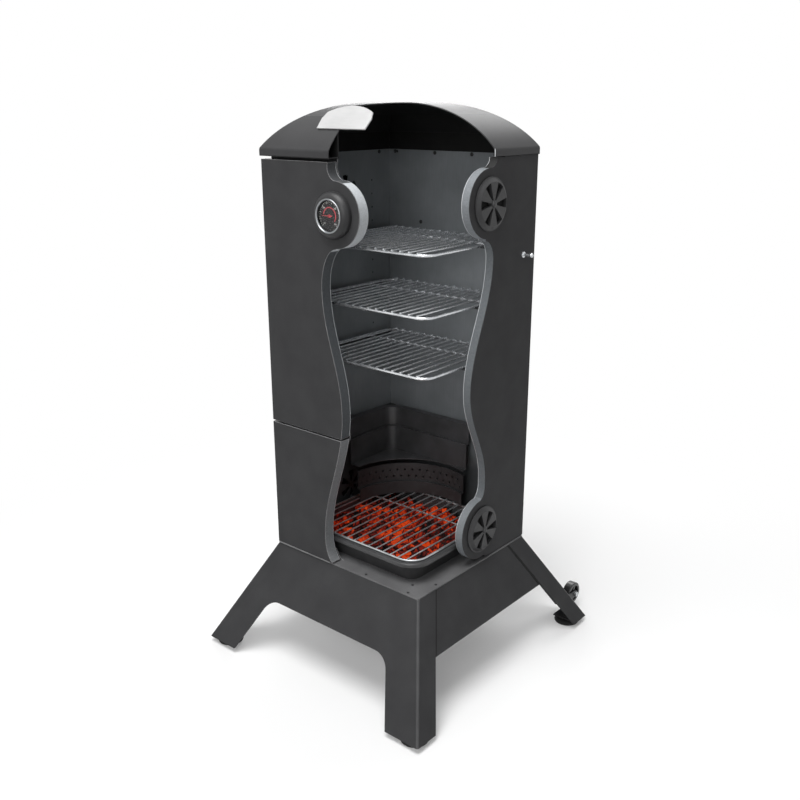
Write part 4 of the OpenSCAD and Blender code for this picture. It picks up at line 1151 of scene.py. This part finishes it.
@dataclass
class Interior:
    """Racks, pan, ring, tray, grate and charcoal."""

    bed_w: float = 296.0
    bed_d: float = 266.0
    bed_y: float = -6.75
    bed_z: float = 277.0
    bed_r: float = 40.0
    tray_half: Pair = (159.0, 142.0)
    top_z: float = 298.0
    lump_mm: float = 32.0
    gap_mm: float = 18.0
    rough_mm: float = 9.0
    facet_mm: float = 13.0
    rise_mm: Pair = (-3.0, 8.0)
    slim: Point = (0.6, 0.5, 0.45)
    stout: Point = (1.5, 0.95, 0.8)
    half_turn: float = 3.1
    density: float = 9000.0
    grid: tuple[int, int] = (46, 42)
    seed: int = 7
    turn_seed: int = 11
    size_seed: int = 23

    def bed_base(self) -> Mesh:
        """Fine flat grid over the tray's inside.

        Returns:
            The mesh.
        """
        bm = bmesh.new()
        nx, ny = self.grid
        verts = {}
        for i in range(nx + 1):
            for j in range(ny + 1):
                x, y = self.bed_w * (i / nx - 0.5), self.bed_d * (j / ny - 0.5)
                past_x = max(0.0, abs(x) - self.bed_w / 2 + self.bed_r)
                past_y = max(0.0, abs(y) - self.bed_d / 2 + self.bed_r)
                if math.hypot(past_x, past_y) <= self.bed_r + 0.1:
                    verts[i, j] = bm.verts.new(place(x, y + self.bed_y, self.bed_z))
        for i in range(nx):
            for j in range(ny):
                corners = [(i, j), (i + 1, j), (i + 1, j + 1), (i, j + 1)]
                if all(c in verts for c in corners):
                    bm.faces.new([verts[c] for c in corners])
        return to_mesh("charcoal_bed", bm)

    def lump_tree(self) -> Tree:
        """Tree that heaps broken lumps on the bed.

        Returns:
            The tree.
        """
        tree, given = new_tree("charcoal_lumps", {
            "Lump": "Float", "Gap": "Float", "Rough": "Float", "Seed": "Int"})
        bed = given["Geometry"]
        points = add_node(tree, "GeometryNodeDistributePointsOnFaces", {
            "Mesh": bed, "Distance Min": given["Gap"], "Density Max": self.density,
            "Seed": given["Seed"]}, distribute_method="POISSON")
        rise = add_node(tree, "FunctionNodeRandomValue", {
            0: (0.0, 0.0, self.rise_mm[0] * MM), 1: (0.0, 0.0, self.rise_mm[1] * MM),
            "Seed": given["Seed"]}, data_type="FLOAT_VECTOR")
        lifted = add_node(tree, "GeometryNodeSetPosition", {"Geometry": points, "Offset": rise})
        radius = add_node(tree, "Math", {0: given["Lump"], 1: 0.5}, operation="MULTIPLY")
        lump = add_node(tree, "GeometryNodeMeshIcoSphere", {"Radius": radius, "Subdivisions": 2})
        turn = add_node(tree, "FunctionNodeRandomValue", {
            0: (-self.half_turn,) * 3, 1: (self.half_turn,) * 3, "Seed": self.turn_seed}, data_type="FLOAT_VECTOR")
        rotation = add_node(tree, "FunctionNodeEulerToRotation", {0: turn})
        stretch = add_node(tree, "FunctionNodeRandomValue", {
            0: self.slim, 1: self.stout, "Seed": self.size_seed}, data_type="FLOAT_VECTOR")
        placed = add_node(tree, "GeometryNodeInstanceOnPoints", {
            "Points": lifted, "Instance": lump, "Rotation": rotation, "Scale": stretch})
        plain = add_node(tree, "GeometryNodeRealizeInstances", {"Geometry": placed})
        both = add_node(tree, "GeometryNodeJoinGeometry", {0: [plain, bed]})
        spot = add_node(tree, "GeometryNodeInputPosition")
        cells = add_node(tree, "TexVoronoi", {"Vector": spot, "Scale": per_metre(self.facet_mm)}, feature="F1")
        centred = add_node(tree, "VectorMath", {0: cells.outputs["Color"], 1: (0.5, 0.5, 0.5)}, operation="SUBTRACT")
        shove = add_node(tree, "VectorMath", {0: centred, "Scale": given["Rough"]}, operation="SCALE")
        broken = add_node(tree, "GeometryNodeSetPosition", {"Geometry": both, "Offset": shove})
        where = add_node(tree, "GeometryNodeInputPosition")
        high = place(self.tray_half[0], self.bed_y + self.tray_half[1], self.top_z)
        low = place(-self.tray_half[0], self.bed_y - self.tray_half[1], 0.0)
        under = add_node(tree, "VectorMath", {0: where, 1: tuple(high)}, operation="MINIMUM")
        held = add_node(tree, "VectorMath", {0: under, 1: tuple(low)}, operation="MAXIMUM")
        kept = add_node(tree, "GeometryNodeSetPosition", {"Geometry": broken, "Position": held})
        flat = add_node(tree, "GeometryNodeSetShadeSmooth", {"Geometry": kept, "Shade Smooth": False})
        close_tree(tree, flat, Finish.EMBERS)
        return tree

    def charcoal(self) -> None:
        """Adds the burning charcoal."""
        sizes = {"Lump": self.lump_mm * MM, "Gap": self.gap_mm * MM, "Rough": self.rough_mm * MM, "Seed": self.seed}
        mesh = grown(self.bed_base(), self.lump_tree(), sizes)
        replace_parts(piece("charcoal_lumps", mesh, Finish.EMBERS), "charcoal")

    def build(self) -> None:
        """Dresses the inside."""
        dress(["top_rack", "middle_rack", "bottom_rack"], Finish.CHROME)
        for node, finish in (("charcoal_grate", Finish.SOOTED_CHROME), ("water_pan", Finish.PAN_ENAMEL),
                             ("charcoal_ring", Finish.RING_ENAMEL), ("charcoal_tray", Finish.TRAY_ENAMEL)):
            dress([node], finish)
        self.charcoal()


@dataclass
class Studio:
    """Camera, lights, floor and background."""

    eye: Point = (1.30278, -1.56431, 1.24550)
    yaw_deg: float = 40.37
    pitch_deg: float = 18.18
    roll_deg: float = -0.13
    focal_px: float = 929.13
    sensor_mm: float = 36.0
    centre_drop_px: float = 5.5
    clip_m: float = 50.0
    aim: Point = (0.0, 0.0, 0.6)
    surround: float = 0.14
    floor_half: float = 6.0
    floor_drop_mm: float = 0.5
    floor_tone: str = "#dcdcdc"
    floor_glow: float = 0.21
    fade_m: Pair = (0.75, 1.5)
    lamps: Sequence[tuple[str, Point, float, float]] = (
        ("top", (0.1, -0.9, 3.4), 2.2, 100.0),
        ("key", (-1.6, -2.8, 2.2), 1.8, 6.0),
        ("fill", (1.2, -2.7, 1.9), 1.6, 31.0),
        ("back", (-0.7, 2.5, 3.0), 2.0, 40.0),
        ("rear", (-2.1, 2.3, 1.5), 1.6, 34.0),
    )

    def camera(self) -> None:
        """Sets the camera to the photograph's viewing angle."""
        yaw, pitch, roll = (math.radians(a) for a in (self.yaw_deg, self.pitch_deg, self.roll_deg))
        back = Vector((math.sin(yaw) * math.cos(pitch), -math.cos(yaw) * math.cos(pitch), math.sin(pitch)))
        right = (-back).cross(Vector((0, 0, 1))).normalized()
        up = right.cross(-back)
        across = math.cos(roll) * right + math.sin(roll) * up
        over = math.cos(roll) * up - math.sin(roll) * right
        data = bpy.data.cameras.new("camera")
        data.sensor_width = self.sensor_mm
        data.lens = self.focal_px * self.sensor_mm / IMAGE_PX
        data.shift_y = self.centre_drop_px / IMAGE_PX
        data.clip_end = self.clip_m
        obj = linked("camera", data)
        turn = Matrix((across, over, back)).transposed().to_4x4()
        obj.matrix_world = Matrix.Translation(self.eye) @ turn
        bpy.context.scene.camera = obj

    def light(self) -> None:
        """Adds the soft lamps and the white surround."""
        for name, spot, size, power in self.lamps:
            data = bpy.data.lights.new(name, "AREA")
            data.shape = "DISK"
            data.size = size
            data.energy = power
            aim = Vector(self.aim) - Vector(spot)
            turn = aim.to_track_quat("-Z", "Y").to_matrix().to_4x4()
            linked(name, data).matrix_world = Matrix.Translation(spot) @ turn
        world = bpy.data.worlds.new("surround")
        bpy.context.scene.world = world
        world.use_nodes = True
        tree = world.node_tree
        tree.nodes.clear()
        dim = add_node(tree, "Background", {"Color": linear(WHITE), "Strength": self.surround})
        white = add_node(tree, "Background", {"Color": linear(WHITE), "Strength": 1.0})
        both = add_node(tree, "MixShader", {0: self.seen(tree), 1: dim, 2: white})
        add_node(tree, "OutputWorld", {"Surface": both})

    def seen(self, tree: Tree) -> Node:
        """Adds a test for rays from the camera or by way of metal and glass.

        Args:
            tree: Tree that takes the nodes.

        Returns:
            A node that is 1 for such rays.
        """
        rays = add_node(tree, "LightPath")
        first = add_node(tree, "Math", {
            0: rays.outputs["Is Camera Ray"], 1: rays.outputs["Is Transmission Ray"]}, operation="MAXIMUM")
        return add_node(tree, "Math", {0: first, 1: rays.outputs["Is Glossy Ray"]}, operation="MAXIMUM")

    def floor(self) -> None:
        """Adds a pale floor that keeps the shadow and is white further out."""
        bm = bmesh.new()
        bmesh.ops.create_grid(bm, x_segments=1, y_segments=1, size=self.floor_half)
        bmesh.ops.translate(bm, verts=bm.verts, vec=(0.0, 0.0, -self.floor_drop_mm * MM))
        mesh = to_mesh("floor", bm)
        material, tree, spot = new_material("pale_floor")
        far = add_node(tree, "VectorMath", {0: spot}, operation="LENGTH")
        fade = add_node(tree, "MapRange", {
            "Value": far.outputs["Value"], "From Min": self.fade_m[0],
            "From Max": self.fade_m[1]}, interpolation_type="SMOOTHSTEP")
        lit = add_node(tree, "BsdfDiffuse", {"Color": linear(self.floor_tone)})
        own = add_node(tree, "Emission", {"Color": linear(WHITE), "Strength": self.floor_glow})
        near = add_node(tree, "AddShader", {0: lit, 1: own})
        white = add_node(tree, "Emission", {"Color": linear(WHITE), "Strength": 1.0})
        shown = add_node(tree, "MixShader", {0: fade, 1: near, 2: white})
        both = add_node(tree, "MixShader", {0: self.seen(tree), 1: lit, 2: shown})
        close_material(tree, both)
        mesh.materials.append(material)
        linked("floor", mesh)

    def build(self) -> None:
        """Sets up camera, lights and floor."""
        bpy.context.scene.view_settings.view_transform = "Standard"
        self.camera()
        self.light()
        self.floor()


def main() -> None:
    """Builds every sub-assembly in order."""
    for part in (Studio(), Base(), Cabinet(), Roof(), Doors(), Thermometer(), Dampers(), Interior()):
        part.build()


if __name__ == "__main__":
    main()
